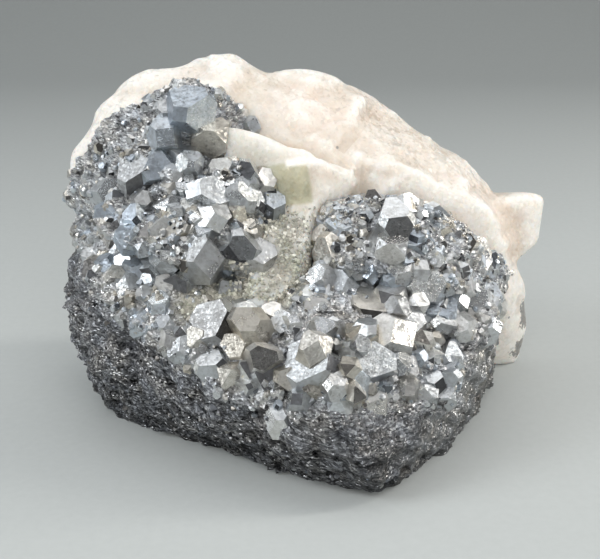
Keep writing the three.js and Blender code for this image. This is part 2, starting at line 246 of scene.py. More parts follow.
STONE_MIDDLE = (0, 0, 25)
front = add_area_lamp("front_fill", (60, -430, 250), STONE_MIDDLE, 500, 400, 1.85, (1.0, 0.98, 0.95))
front.visible_glossy = False
add_area_lamp("softbox_above", (-30, 150, 520), STONE_MIDDLE, 420, 300, 0.58, (1.0, 0.985, 0.96))
add_area_lamp("window_left", (-520, -160, 330), STONE_MIDDLE, 260, 320, 1.5, (0.93, 0.97, 1.0))
add_area_lamp("strip_right", (420, 60, 260), STONE_MIDDLE, 70, 300, 1.0, (1.0, 0.97, 0.92))

# %% Sky that mirrors in the metal
SKY_UPWARD = (-0.15, 0.42, 0.8)
SKY_TONES = [(0.04, (0.25, 0.255, 0.26)), (0.26, (0.69, 0.705, 0.72)), (0.9, (0.78, 0.80, 0.83))]
SKY_MIRRORED = 1.0
SKY_SPREAD = 0.62

world = bpy.data.worlds.new("studio")
world.use_nodes = True
bpy.context.scene.world = world
sky = world.node_tree
sky.nodes.clear()
way = add_node(sky, "ShaderNodeTexCoord").outputs["Generated"]
upward = vector_node(sky, "DOT_PRODUCT", way, SKY_UPWARD).outputs["Value"]
spread = add_node(sky, "ShaderNodeLightPath").outputs["Is Diffuse Ray"]
sky_light = add_node(sky, "ShaderNodeBackground", {
    "Color": add_ramp(sky, upward, SKY_TONES),
    "Strength": remap(sky, spread, SKY_MIRRORED, SKY_SPREAD),
})
add_node(sky, "ShaderNodeOutputWorld", {"Surface": sky_light.outputs["Background"]})
bpy.context.scene.view_settings.view_transform = "Standard"

# %% [markdown]
# ## The stone's blocks
# A lump of rock has no simple outline, but it is nearly star-shaped: from a point in its heart,
# each direction meets the surface once. So the whole form is one function, the reach along a
# direction. Each mineral is a few convex blocks, given by the corners that a sculptor would
# rough out, and the reach is the largest of the blocks' reaches.

# %% Corners of the ore
HEART = np.array([0.0, 2.0, 21.0])
ROOT_RADIUS = 9.0

ORE_BLOCKS = {
    "foot": [
        [-10, -26, -2], [0, -31, -2], [11, -37.5, -2], [17, -32, -2], [23, -26, -2], [29, -14, -2],
        [34, -2, -2], [26, 12, -2], [-4, 14, -2], [-33, 9, -2], [-33, -6, -2], [-27, -13, -2],
        [-19, -21, -2], [-37, -8, 6], [-38, -15, 11], [-40, -12, 20], [-40, -7, 28], [-32, -20, 25],
        [-24, -28, 17], [-16, -34, 12], [-7, -39, 11], [9, -43, 8], [12, -43, 3], [18, -38, 8],
        [24, -30, 13], [29, -23, 17], [34, -11, 21], [36, 0, 10], [35, 5, 2],
        [5, -34, 18], [-14, -24, 25], [14, -24, 22], [34, 2, 22], [-38, 4, 30], [-38, 12, 16],
        [-36, 0, 36], [-18, -2, 40], [0, 0, 34], [24, 0, 30], [0, 18, 20],
    ],
    "upper_cluster": [
        [-39, -2, 34], [-38, -3, 42], [-35, -4, 47], [-28, -4, 53], [-20, -3, 57], [-12, -1, 54],
        [-14, -6, 49], [-24, -10, 44], [-35, -8, 37], [-30, -12, 36],
    ],
    "middle_cluster": [
        [-20, -11, 44], [-12, -10, 45], [-7, -9, 43], [-2, -10, 38], [-4, -14, 33],
        [-10, -21, 30], [-20, -22, 31], [-31, -16, 34], [-34, -12, 36], [-30, -12, 37],
    ],
    "right_mound": [
        [2, -9, 35], [8, -9, 38], [17, -9, 38], [26, -8, 34], [33, -6, 28], [37, -4, 23],
        [33, -12, 21], [22, -19, 26], [9, -19, 29], [3, -16, 30],
    ],
}
FOOT_NUB = [
    [-36, -11, 5], [-33.5, -14, 4.5], [-29, -16.5, 2.5], [-24, -18, 0], [-34.5, -9, 0],
    [-30, -14.5, 0], [-28, -10, 8], [-35.5, -9, 7.5], [-22, -12, 0],
]
# Swells and hollows: where, how high, and how far they spread.
ORE_SWELLS = [
    ([6, -34, 17], 2.0, 10.0), ([-2, -11, 35], -5.0, 6.0), ([-2, -17, 30], -4.5, 5.0),
    ([-7, -23, 27], -3.0, 5.0), ([-14, -21, 29], -3.5, 4.0), ([-4, -38, 14], -2.0, 4.0),
]

# %% [markdown]
# ## The reach of a rounded hull
# The hull of a block's corners is a set of planes. Along a direction, each plane is met at its
# distance divided by the cosine, and the nearest one is the surface. A p-norm with a high power
# takes nearly the nearest, but rounds the edges a little, as weathering does.

# %% Hull planes and reach
EDGE_POWER = 40
SAME_FACE = math.cos(math.radians(7))
ON_PLANE = 1e-6
LEVEL = 1e-9


def hull_planes(points):
    """The planes of the convex hull of some points: each three points whose plane has all the
    others on one side. Returns the outward normals, distances and triangle areas."""
    triples = np.array(list(itertools.combinations(range(len(points)), 3)))
    first, second, third = (points[triples[:, i]] for i in range(3))
    normals = np.cross(second - first, third - first)
    lengths = np.linalg.norm(normals, axis=1)
    wide = lengths > LEVEL
    normals, lengths, first = normals[wide] / lengths[wide, None], lengths[wide], first[wide]
    distances = (normals * first).sum(1)
    sides = normals @ points.T - distances[:, None]
    inward = sides.min(1) > -ON_PLANE
    outward = sides.max(1) < ON_PLANE
    normals[inward] *= -1
    distances[inward] *= -1
    kept = inward | outward
    return normals[kept], distances[kept], lengths[kept] / 2


def rounded_block(corners):
    """The main planes of a block and its root, the broadest first, without near-parallels."""
    root = ROOT_RADIUS * np.vstack([np.eye(3), -np.eye(3)])
    normals, distances, areas = hull_planes(np.vstack([root, np.array(corners) - HEART]))
    chosen = []
    for i in np.argsort(-areas, kind="stable"):
        if all(normals[i] @ normals[j] <= SAME_FACE for j in chosen):
            chosen.append(i)
    return normals[chosen], distances[chosen]


def hull_reach(block, directions):
    """How far a rounded hull reaches: the p-norm of each plane's cosine over its distance."""
    normals, distances = block
    closeness = np.maximum(directions @ (normals / distances[:, None]).T, 0)
    return (closeness ** EDGE_POWER).sum(1) ** (-1 / EDGE_POWER)


def ray_exit(bounds, slopes):
    """Where each ray leaves a convex solid, or 0 where it misses. A ray meets a plane at the
    plane's bound over its own slope towards it. It enters the solid with the last plane that
    it meets from outside and leaves with the first that it meets from inside."""
    with np.errstate(divide="ignore", invalid="ignore"):
        meets = bounds / slopes
    leaves = np.where(slopes > LEVEL, meets, np.inf).min(1)
    enters = np.where(slopes < -LEVEL, meets, -np.inf).max(1)
    return np.where(leaves > np.maximum(enters, 0), leaves, 0)


def sharp_exit(corners, directions):
    """Where a ray from the heart leaves the sharp hull of some corners, or 0 if it misses."""
    normals, distances, _ = hull_planes(np.array(corners, float) - HEART)
    return ray_exit(distances, directions @ normals.T)


ore_hulls = [rounded_block(corners) for corners in ORE_BLOCKS.values()]
print("planes in each ore block:", [len(block[1]) for block in ore_hulls])

# %% Swells, lumps and ledges
RIM_POINT = np.array([10.0, -39.0, 9.0])
RIM_NORMAL = np.array([0.105, -0.392, 0.914]) / np.linalg.norm([0.105, -0.392, 0.914])
RIM_TOP = 1
LEDGE_THICKNESS = 6.2
LEDGE_DEPTH = 1.5
LEDGE_BEND = 0.3
LEDGE_WAVE = 26
LEDGE_BLEND = 4
# Lumps: how high, and how far from one to the next.
ORE_LUMPS = [(0.5, 13), (0.3, 5.3)]


def swell(swells, points):
    """The sum of round hills and hollows: height times exp(-(distance / spread) squared)."""
    total = np.zeros(len(points))
    for at, height, spread in swells:
        apart = ((points - np.array(at)) ** 2).sum(1)
        total += height * np.exp(-apart / spread ** 2)
    return total


def lumps(points, wavelength):
    """Gentle lumps from two pairs of crossed sine waves of about one wavelength."""
    k = 2 * math.pi / wavelength
    x, y, z = points.T
    first = np.sin(k * (x + 0.4 * y) + 1.3) * np.sin(k * (y - 0.3 * z) + 0.7)
    second = np.sin(k * (z + 0.5 * x) + 2.1) * np.sin(0.8 * k * (y + z) + 4.2)
    return first + second


def with_lumps(reach, sizes, points):
    """A reach with lumps of some heights and wavelengths added."""
    for height, wavelength in sizes:
        reach = reach + height * lumps(points, wavelength)
    return reach


def above_rim(points):
    """The height of each point over the sloping plane through the rim of the crystal face."""
    return (points - RIM_POINT) @ RIM_NORMAL


def below_rim(points, blend):
    """1 below the rim, falling over a blend to 0 at a millimetre above it."""
    return np.clip((RIM_TOP - above_rim(points)) / blend, 0, 1)


def ledges(points):
    """Layers that break along planes parallel to the rim: a sawtooth of the height over it."""
    layer = above_rim(points) / LEDGE_THICKNESS + LEDGE_BEND * lumps(points, LEDGE_WAVE)
    return LEDGE_DEPTH * below_rim(points, LEDGE_BLEND) * (0.5 - (layer - np.floor(layer)))


def blocks_reach(blocks, directions):
    """The largest of the blocks' reaches."""
    return np.max([hull_reach(block, directions) for block in blocks], axis=0)


def ore_reach(directions):
    """How far the ore reaches: its blocks, with swells, ledges and two sizes of lumps."""
    smooth = blocks_reach(ore_hulls, directions)
    points = directions * smooth[:, None] + HEART
    return with_lumps(smooth + swell(ORE_SWELLS, points) + ledges(points), ORE_LUMPS, points)


def ground_reach(directions):
    """Where each direction meets the ground that the stone is broken flat on."""
    down = np.minimum(directions[:, 2], -1e-9)
    return np.where(directions[:, 2] < 0, HEART[2] / -down, np.inf)


# %% Corners and reach of the calcite
CALCITE_BLOCKS = {
    "ridge": [
        [-42, 3, 36], [-41, 4, 44], [-37, 6, 50], [-33, 7, 54.5], [-25, 8, 57.5], [-15, 10, 60],
        [-7, 12, 57], [0, 12, 57], [10, 14, 53], [20, 14, 47], [31, 13, 39.5], [36, 11, 36],
        [39, 10, 26], [41, 11, 18], [44, 11, 13], [45.5, 11, 6], [43, 10, -2],
        [-41, 0, 38], [-37, 1, 46], [-30, 2, 52], [-14, 2, 53], [12, -3, 44], [30, -2, 36],
        [36, -1, 29], [37, 2, 14],
        [-38, 16, 28], [-34, 18, 46], [-14, 22, 52], [10, 23, 45], [30, 21, 32], [38, 18, 12],
        [30, 22, -2], [2, 25, -2], [-24, 20, -2], [-35, 15, 4], [0, 27, 22],
    ],
    "saddle": [
        [-16, -4, 50], [-9, -6, 49], [0, -8, 44], [3, -9, 38], [-4, -9, 38], [-13, -7, 44],
        [10, -5, 42],
    ],
    "tongue": [
        [-5, -8, 39], [3, -8, 39], [1, -11.5, 35], [-4, -12, 35], [0, -16, 30.5],
        [-4, -16.5, 30.5], [-1, -20, 26.5], [-5, -20.5, 26.5], [-9, -23, 25], [-6, -24.3, 23.2],
    ],
}
CALCITE_SWELLS = [([-6, 12, 56], -1.5, 4.0), ([-8, -4, 48], 0.8, 5.0)]
CALCITE_LUMPS = [(0.5, 17), (0.25, 7.1)]
calcite_hulls = [rounded_block(corners) for corners in CALCITE_BLOCKS.values()]
print("planes in each calcite block:", [len(block[1]) for block in calcite_hulls])


def calcite_reach(directions):
    """How far the calcite's blocks reach, with swells and two sizes of lumps."""
    smooth = blocks_reach(calcite_hulls, directions)
    points = directions * smooth[:, None] + HEART
    return with_lumps(smooth + swell(CALCITE_SWELLS, points), CALCITE_LUMPS, points)


# %% [markdown]
# ## Noise for broken rock
# Broken rock is not wavy: it is a patchwork of small flat facets, each tilted its own way. To
# get them, space is divided into grains round scattered points, and each grain is given one
# random tilt. The height at a point is its offset from the grain's middle, along that tilt. A
# smooth value noise adds the broader unevenness.

# %% Noise helpers
def scatter(index, salt):
    """A repeatable random number between 0 and 1 for each index."""
    wave = np.sin(index * 12.9898 + salt * 78.233) * 43758.5453
    return wave - np.floor(wave)


def between(low, high, share):
    """The value that lies a share of the way from low to high."""
    return low + (high - low) * share


def cell_random(cells, salt):
    """A repeatable random number for each cell of a lattice."""
    wave = np.sin(cells @ np.array([12.9898, 78.233, 37.719]) + 4.17 * salt) * 43758.5453
    return wave - np.floor(wave)


def value_noise(points, cell, salt):
    """Smooth noise between -1 and 1: random numbers on a lattice, blended by smoothstep."""
    base = np.floor(points / cell)
    t = points / cell - base
    t = t * t * (3 - 2 * t)
    total = np.zeros(len(points))
    for corner in itertools.product((0, 1), repeat=3):
        weight = np.where(np.array(corner), t, 1 - t).prod(1)
        total += weight * cell_random(base + np.array(corner), salt)
    return 2 * total - 1


def nearest_grain(points, cell, salt):
    """The offset from the nearest of one scattered point per cell, and the grain's random
    vector between -1 and 1."""
    base = np.floor(points / cell)
    best = np.full(len(points), np.inf)
    offset = np.zeros_like(points)
    tilt = np.zeros_like(points)
    for step in itertools.product((-1, 0, 1), repeat=3):
        cells = base + np.array(step)
        middle = cells + np.stack([cell_random(cells, salt + i) for i in range(3)], 1)
        away = points - middle * cell
        distance = (away ** 2).sum(1)
        nearer = distance < best
        best = np.where(nearer, distance, best)
        offset[nearer] = away[nearer]
        values = np.stack([cell_random(cells[nearer], salt + 10 + i) for i in range(3)], 1)
        tilt[nearer] = 2 * values - 1
    return offset, tilt


def fracture(points, cell, salt):
    """Height of a surface broken into flat facets: the offset from the grain times its tilt."""
    offset, tilt = nearest_grain(points, cell, salt)
    return (offset * tilt).sum(1)


def unevenness(points, facets, waves):
    """Facets and waves of several sizes, added together. Each is a steepness or a height, a
    size in millimetres and a salt, which makes its random numbers its own."""
    total = np.zeros(len(points))
    for steepness, cell, salt in facets:
        total += steepness * fracture(points, cell, salt)
    for height, cell, salt in waves:
        total += height * value_noise(points, cell, salt)
    return total


# %% [markdown]
# ## An even grid of directions
# A globe's grid of latitude and longitude crowds at its poles. A cube's six faces, each a plain
# grid of two parameters and blown up to a sphere, stay even all over. Taking the tangent of
# even angles spaces the rows, and points that two faces share are made one, so the surface is
# closed.

# %% Cube sphere
def cube_sphere(steps):
    """Unit directions and quads of a blown-up cube with steps by steps quads on each face."""
    ids, quads = [], []
    first, second = np.meshgrid(np.arange(steps + 1), np.arange(steps + 1), indexing="ij")
    for axis, side in itertools.product(range(3), (0, steps)):
        lattice = np.zeros((steps + 1, steps + 1, 3), int)
        lattice[..., axis] = side
        lattice[..., (axis + 1) % 3] = first
        lattice[..., (axis + 2) % 3] = second
        ids.append(lattice @ np.array([(steps + 1) ** 2, steps + 1, 1]))
    numbers, where = np.unique(np.stack(ids), return_inverse=True)
    where = where.reshape(6, steps + 1, steps + 1)
    for face, grid in enumerate(where):
        corners = [grid[:-1, :-1], grid[1:, :-1], grid[1:, 1:], grid[:-1, 1:]]
        if face % 2 == 0:
            corners.reverse()
        quads.append(np.stack([corner.ravel() for corner in corners], 1))
    lattice = np.stack([numbers // (steps + 1) ** 2, numbers // (steps + 1) % (steps + 1),
                        numbers % (steps + 1)], 1)
    cube = np.tan((lattice / steps - 0.5) * math.pi / 2)
    return cube / np.linalg.norm(cube, axis=1, keepdims=True), np.concatenate(quads)


def worn(heights, quads, times):
    """Heights on a closed grid of quads, each averaged with its neighbours' a few times. Every
    neighbour follows its point round just one quad, so no neighbour is counted twice."""
    here, there = quads.ravel(), np.roll(quads, -1, axis=1).ravel()
    neighbours = np.bincount(here, minlength=len(heights))
    for _ in range(times):
        total = np.bincount(here, weights=heights[there], minlength=len(heights))
        heights = 0.5 * heights + 0.5 * total / neighbours
    return heights


# %% [markdown]
# ## Fine-grained fill between the crystals
# Crystals that grow together leave no holes. Between the large ones the crust is a mass of grains
# too small to have a shape, and their faces stand just clear of it. So the ore rises a little
# over the rim, broken into facets, and the crystals are sunk in it. It doesn't rise where the
# calcite lies near, where sand covers the metal, or where the rim was broken bare.

# %% Zones of the ore
SANDY_ZONES = [
    ([-3, -14, 33], 5.0), ([-4.5, -19, 29], 4.5), ([-6, -21, 26], 4.5), ([-12.7, -21.2, 25.5], 3.6),
    ([-17, -23.5, 25.5], 3.2),
]
FINE_ZONES = [
    ([-30.5, -6.5, 47], 6.0), ([-33.5, -5.5, 42], 6.0), ([-35, -4, 34], 5.0),
    ([7, -22, 26.5], 5.5), ([3, -24.5, 24.5], 6.0), ([-15, -14, 43], 4.0), ([12, -36.5, 15.5], 4.5),
    ([10, -12, 34.5], 5.0),
]
BARE_ZONES = [
    ([28, -21, 12], 7.0), ([-2, -37, 10], 3.6), ([5, -39.5, 10.2], 4.0), ([11, -39.5, 10.2], 4.2),
    ([16, -37, 10], 4.5),
]
SIDE_LOOK = np.array([0.95, -0.3, 0.0])
SIDE_STARTS = 24.0
SIDE_WIDTH = 8.0
SIDE_BLEND = 2


def zone(zones, points):
    """How deep each point lies in some round zones: the sum of exp(-(distance / size) squared)."""
    return np.clip(sum(np.exp(-((points - np.array(at)) ** 2).sum(1) / size ** 2)
                       for at, size in zones), 0, 1)


def side_share(points):
    """1 on the fine-grained side below the rim, blending to 0 round the front corner: the
    distance along one direction, past a start, over a width."""
    along = np.clip((points @ SIDE_LOOK - SIDE_STARTS) / SIDE_WIDTH, 0, 1)
    return along * below_rim(points, SIDE_BLEND)


# %% Fill
FILL_STARTS = 0.3
FILL_BLEND = 1.5
FILL_RISE = 0.75
FINE_RISE = 0.55
FILL_FACETS = [(0.30, 2.6, 7), (0.28, 1.3, 8)]
FILL_WAVES = [(0.35, 5.0, 9)]


def crust_share(points, directions):
    """1 where the crust has fill, and 0 below the rim, near the calcite, under the sand and in
    the bare zones, which lie round the front tip and the right-hand corner."""
    over_rim = np.clip((above_rim(points) - FILL_STARTS) / FILL_BLEND, 0, 1)
    clear_of_calcite = np.linalg.norm(points - HEART, axis=1) - calcite_reach(directions)
    return (over_rim * np.clip(clear_of_calcite / FILL_BLEND, 0, 1)
            * (1 - zone(SANDY_ZONES, points)) * (1 - zone(BARE_ZONES, points)))


def fill_relief(points):
    """The fill's unevenness: facets of about 2.6 and 1.3 mm on a gentle swell."""
    return unevenness(points, FILL_FACETS, FILL_WAVES)


def fill_height(points, share):
    """How far the fill rises over the ore: a constant, more in the fine-grained zones, and its
    unevenness."""
    return share * (FILL_RISE + FINE_RISE * zone(FINE_ZONES, points) + fill_relief(points))


# %% [markdown]
# ## The massive ore
# Under the crystals the ore is fine-grained, and where it is broken, on the flank and the base,
# it shows ragged layers full of tiny glints. Round the right-hand side the break is finer and
# duller. The reach function gives its form, and fractures at three sizes, squeezed along the
# layers, break it up. Only real geometry catches the light along the silhouette, so the larger
# facets are modelled and only the smallest are left to the material.

# %% Ore rock
ROCK_STEPS = 127
LAYER_SQUEEZE = 3.2
STRATUM = 2.3
STRATUM_DEPTH = 0.55
STRATUM_BEND = 1.3
STRATUM_WAVE = 7.0
STRATUM_BLEND = 3
CRUST_CALMS = 0.5
BARE_CALMS = 0.5
SIDE_CALMS = 0.55
CAVITY_CONTRAST = 0.9
# Steepness or height, size in millimetres, and salt.
ROCK_FACETS = [(0.11, 6.0, 1), (0.13, 3.0, 2), (0.16, 1.5, 3)]
ROCK_WAVES = [(0.35, 4.0, 4), (0.14, 1.3, 5)]


def layered(points):
    """The points stretched across the layers, so that noise made from them lies in sheets."""
    return points + RIM_NORMAL * (above_rim(points) * (LAYER_SQUEEZE - 1))[:, None]


def strata(points):
    """Thin layers: a sawtooth of the height over the rim, on lines bent by noise."""
    layer = (above_rim(points) + STRATUM_BEND * value_noise(points, STRATUM_WAVE, 6)) / STRATUM
    return STRATUM_DEPTH * below_rim(points, STRATUM_BLEND) * (0.5 - (layer - np.floor(layer)))


directions, quads = cube_sphere(ROCK_STEPS)
reach = np.maximum(ore_reach(directions), sharp_exit(FOOT_NUB, directions))
points = directions * reach[:, None] + HEART
share = crust_share(points, directions)
side = side_share(points)
relief = unevenness(layered(points), ROCK_FACETS, ROCK_WAVES) + strata(points)
relief *= (1 - CRUST_CALMS * share) * (1 - BARE_CALMS * zone(BARE_ZONES, points))
relief *= 1 - SIDE_CALMS * side
reach = np.minimum(reach + relief + fill_height(points, share), ground_reach(directions))
relief += share * fill_relief(points)
rock_points = directions * reach[:, None] + HEART
ore_rock = add_mesh("ore_rock", rock_points, [quads], False)
# How low each point lies in the relief, kept for the painted shade in the ore's hollows.
cavity = np.clip(0.5 + CAVITY_CONTRAST * relief, 0, 1)
paint_points(ore_rock, "cavity", cavity, zone(SANDY_ZONES, rock_points), share)
paint_points(ore_rock, "side", side, side, side)
print("fine-grained side:", round(float((side > 0.5).mean()), 3), "of the ore's points")

# %% [markdown]
# ## One crystal's habit
# Skutterudite is cubic. Its crystals are an octahedron whose six points are cut off by a cube,
# lightly or deeply, so every crystal has the same fourteen faces in new proportions. Each of
# the 24 corners moves along a straight line as the cut deepens, so a crystal is `A * cut + B`
# with two fixed tables, and hundreds of crystals are one product of arrays.

# %% Habit tables
def octahedral_corners():
    """Corners where a deep octahedron face meets a small cube face: cut along one axis, and the
    rest of the length along another."""
    moving, fixed = [], []
    for i, j in itertools.permutations(range(3), 2):
        for a, b in itertools.product((-1, 1), repeat=2):
            unit_i, unit_j = a * np.eye(3)[i], b * np.eye(3)[j]
            moving.append(unit_i - unit_j)
            fixed.append(unit_j)
    return np.array(moving), np.array(fixed)


def cubic_corners():
    """Corners of a cube whose own corners are cut by small octahedron faces."""
    moving, fixed = [], []
    for k in range(3):
        for signs in itertools.product((-1, 1), repeat=3):
            tip = signs[k] * np.eye(3)[k]
            moving.append(np.array(signs) - 3 * tip)
            fixed.append(tip)
    return np.array(moving), np.array(fixed)


CUBE_NORMALS = np.vstack([np.eye(3), -np.eye(3)])
OCTAHEDRON_NORMALS = np.array(list(itertools.product((-1.0, 1.0), repeat=3)))

# %% Faces of the habits
ASKEW = [0.31, 0.57, 0.76]
SAMPLE_CUTS = {"octahedral": 0.6, "cubic": 0.42}


def faces_of(corners, normals):
    """For each normal, the corners that lie furthest along it, in order round it."""
    faces = []
    for normal in normals:
        along = corners @ normal
        members = np.flatnonzero(along > along.max() - 1e-6)
        across = np.cross(normal, ASKEW)
        upward = np.cross(normal, across)
        spokes = corners[members] - corners[members].mean(0)
        order = np.argsort(np.arctan2(spokes @ upward, spokes @ across))
        faces.append(members[order])
    return np.array(faces)


HABITS = {}
for habit, (moving, fixed) in (("octahedral", octahedral_corners()), ("cubic", cubic_corners())):
    sample = moving * SAMPLE_CUTS[habit] + fixed
    HABITS[habit] = (moving, fixed, faces_of(sample, CUBE_NORMALS),
                     faces_of(sample, OCTAHEDRON_NORMALS))
    print(habit, "faces:", HABITS[habit][2].shape, HABITS[habit][3].shape)

# %% Crystals as arrays
NEARLY_BACKWARD = -0.9999


def unit(vectors):
    """The vectors at length one."""
    return vectors / np.linalg.norm(vectors, axis=-1, keepdims=True)


def cross_matrix(v):
    """The matrix of each vector that makes its cross product with another."""
    zero = np.zeros(len(v))
    rows = [[zero, -v[:, 2], v[:, 1]], [v[:, 2], zero, -v[:, 0]], [-v[:, 1], v[:, 0], zero]]
    return np.stack([np.stack(row, 1) for row in rows], 1)


def turns(faces, looks, spins):
    """Rotation matrices that bring each face normal to where it looks, then spin it there.
    The first part is I + K + K K / (1 + cosine), K being the cross product's matrix. The
    second is Rodrigues' formula."""
    k = cross_matrix(np.cross(faces, looks))
    cosine = np.maximum((faces * looks).sum(1), NEARLY_BACKWARD)[:, None, None]
    bring = np.eye(3) + k + k @ k / (1 + cosine)
    axis = cross_matrix(looks)
    sine, versine = np.sin(spins)[:, None, None], (1 - np.cos(spins))[:, None, None]
    return (np.eye(3) + sine * axis + versine * (axis @ axis)) @ bring


DEEP_CUT = 0.5
LONGER = 0.22
THINNER = 0.18


class Crystals:
    """Many crystals as arrays with one row for each."""

    def __init__(self, centre, size, cut, looks, index):
        self.centre, self.size, self.cut, self.index = centre, size, cut, index
        faces = np.where(cut[:, None] > DEEP_CUT, unit(np.ones(3)), np.array([0.0, 0.0, 1.0]))
        self.turn = turns(faces, looks, 2 * math.pi * scatter(index, 7))
        self.stretch = np.stack([1 + LONGER * scatter(index, 8), np.ones(len(index)),
                                 1 - THINNER * scatter(index, 9)], 1)


# %% Tone of each face
# Painted shade: a share of the faces that look towards the viewer, within this cosine, are made
# nearly black.
SHADED_FACING = unit(np.array([0.05, -0.95, 0.25]))
SHADED_FACING_WITHIN = 0.80
PAINTED_SHADE_SHARE = 0.26
PALEST_PAINTED_SHADE = 0.1


def face_tone(placed, faces, face_index):
    """A random tone for each face. A share of the faces that look forward get the blackest
    tenth, as painted shade on faces turned to the viewer."""
    corners = placed[:, faces]
    normals = unit(np.cross(corners[:, :, 1] - corners[:, :, 0], corners[:, :, 2] - corners[:, :, 1]))
    forward = (normals @ SHADED_FACING > SHADED_FACING_WITHIN).ravel()
    # Painted shade on some of the faces turned to the viewer.
    dark = forward & (scatter(face_index, 24) < PAINTED_SHADE_SHARE)
    tone = scatter(face_index, 22)
    return np.where(dark, PALEST_PAINTED_SHADE * tone, between(PALEST_PAINTED_SHADE, 1, tone))


# %% Mesh of crystals
CRYSTAL_STEP = 1.7
FACE_STEP = 3.1
SET_STEP = 11


def crystal_mesh(name, groups):
    """One mesh of all the crystals in some groups. Each face gets a tone, a tarnish that is the
    same on the whole crystal, and a polish."""
    points, blocks, tints = [], [], []
    count = 0
    for group in groups:
        for habit, (moving, fixed, *face_sets) in HABITS.items():
            chosen = (group.cut >= DEEP_CUT) == (habit == "octahedral")
            if not chosen.any():
                continue
            index = group.index[chosen]
            local = moving[None] * group.cut[chosen, None, None] + fixed[None]
            local = local * (group.stretch * group.size[:, None])[chosen, None]
            placed = np.einsum("kij,kcj->kci", group.turn[chosen], local)
            placed += group.centre[chosen, None]
            starts = count + np.arange(len(index)) * len(moving)
            count += placed.shape[0] * placed.shape[1]
            points.append(placed.reshape(-1, 3))
            for number, faces in enumerate(face_sets):
                blocks.append((starts[:, None, None] + faces[None]).reshape(-1, faces.shape[1]))
                face_index = (np.repeat(index, len(faces)) * CRYSTAL_STEP
                              + np.tile(np.arange(len(faces)), len(index)) * FACE_STEP
                              + SET_STEP * number)
                tints.append(as_colours(face_tone(placed, faces, face_index),
                                        np.repeat(scatter(index, 21), len(faces)),
                                        scatter(face_index, 23)))
    piece = add_mesh(name, np.concatenate(points), blocks, False)
    sizes = np.concatenate([np.full(len(block), block.shape[1]) for block in blocks])
    paint_corners(piece, "tint", np.concatenate(tints), sizes)
    return piece


# %% [markdown]
# ## Where the large crystals stand
# The crystals that the eye picks out are listed one by one, in groups by where their broadest face
# looks: faces that lie back to the sky shine white, and faces turned to the viewer stay grey.
# Places are given across and up the sloping face, and a search along the line through each
# finds the ore's surface. All are sunk deep, so the crust reads as grown together and not as a
# pile.

# %% Large crystals
FACE_OUT = unit(np.array([0, -0.64, 0.77]))
FACE_ACROSS = np.array([1.0, 0.0, 0.0])
FACE_UP = np.cross(FACE_OUT, FACE_ACROSS)
FACE_MIDDLE = np.array([0.0, -12.0, 26.0])
LARGE_SINK = 0.38
HORN_SINK = 0.24
HORN_STARTS = 11
FIRST_LARGE = 1000.0

# Each crystal: how far across, how far up, its size and its cut.

LARGE_CRYSTALS = {
    "back to the sky": ([0, -0.45, 0.89], [
        [-19, 22.5, 6.4, 0.74], [-23, 18.4, 5.2, 0.6], [-11.5, 6.2, 4.8, 0.67], [-9, 3, 3.8, 0.6],
        [-32, 6.8, 3, 0.55], [-23.5, -9.5, 4.2, 0.6], [3.4, -18.2, 4.4, 0.6], [17, -2.4, 4.2, 0.64],
        [25, 0.6, 5.2, 0.6], [28, -1.5, 3.4, 0.6], [-15.5, -12.6, 4.4, 0.6],
        [-4.8, -12.6, 3.8, 0.62], [6, -28, 4.8, 0.58], [11.3, -27.6, 4.8, 0.62],
        [-3, -29.8, 4, 0.6], [20, -15.8, 4, 0.6], [19.5, -7.6, 4.8, 0.62], [21, -22, 3.6, 0.6],
        [-7.5, -19.5, 3.8, 0.6],
    ]),
    "up and left": ([-0.36, -0.6, 0.71], [
        [-27, 12.6, 5.8, 0.76], [-17.5, -2.4, 7.2, 0.56], [-13.5, -15.4, 7.8, 0.62],
        [-2, -15, 4.6, 0.6], [2, -24, 7.2, 0.74], [-29, 4.4, 4.8, 0.58], [7, -6, 5.2, 0.66],
        [14.5, -17.2, 8.2, 0.62], [31.5, 1.6, 5, 0.62],
    ]),
    "up and right": ([0.4, -0.62, 0.68], [
        [-15.8, 8.2, 6.4, 0.66], [13, 0.2, 5.8, 0.78], [-8.4, -1.2, 6, 0.6], [22.4, 1.0, 4.6, 0.6],
        [-25, -2.8, 5.6, 0.6], [-6, 9.2, 4.8, 0.6], [9.8, -22.4, 6.6, 0.72],
        [17.2, -12.4, 5.2, 0.64], [5.8, 0, 5, 0.72], [-9.6, -11.8, 4, 0.64],
    ]),
    "with a bright top": ([0.08, -0.3, 0.95], [
        [-15.5, 19.4, 6.4, 0.44], [24, -9.8, 7.6, 0.42], [-5.6, 2.2, 6, 0.46], [19.6, 1.8, 6.8, 0.44],
        [12, -11, 6.8, 0.46], [-20, 15.4, 5.2, 0.44], [-29, -5.6, 5.2, 0.46],
    ]),
    "to the viewer": ([0.1, -0.9, 0.42], [
        [-23.8, 13.2, 4.8, 0.76], [-32, 11.2, 5.8, 0.66], [-28, 9.4, 4.8, 0.64],
        [-12.2, -6.8, 4.6, 0.48], [22, -5, 6.2, 0.62], [-4.8, -23.2, 5.6, 0.62],
        [8, -25.6, 5.8, 0.64], [16.6, -21.6, 4.8, 0.6], [30, -4.5, 4.8, 0.62],
    ]),
}

SEARCH = np.arange(30, -25, -0.5)


def on_ore(across, up):
    """The ore's surface on the line through each spot of the sloping face: the first step of
    the search that lies inside. Returns the points and which lines met the ore."""
    foot = FACE_MIDDLE + across[:, None] * FACE_ACROSS + up[:, None] * FACE_UP
    steps = foot[:, None] + SEARCH[None, :, None] * FACE_OUT
    out = (steps - HEART).reshape(-1, 3)
    distance = np.linalg.norm(out, axis=1)
    inside = (distance < ore_reach(out / distance[:, None])).reshape(len(foot), len(SEARCH))
    return steps[np.arange(len(foot)), inside.argmax(1)], inside.any(1)


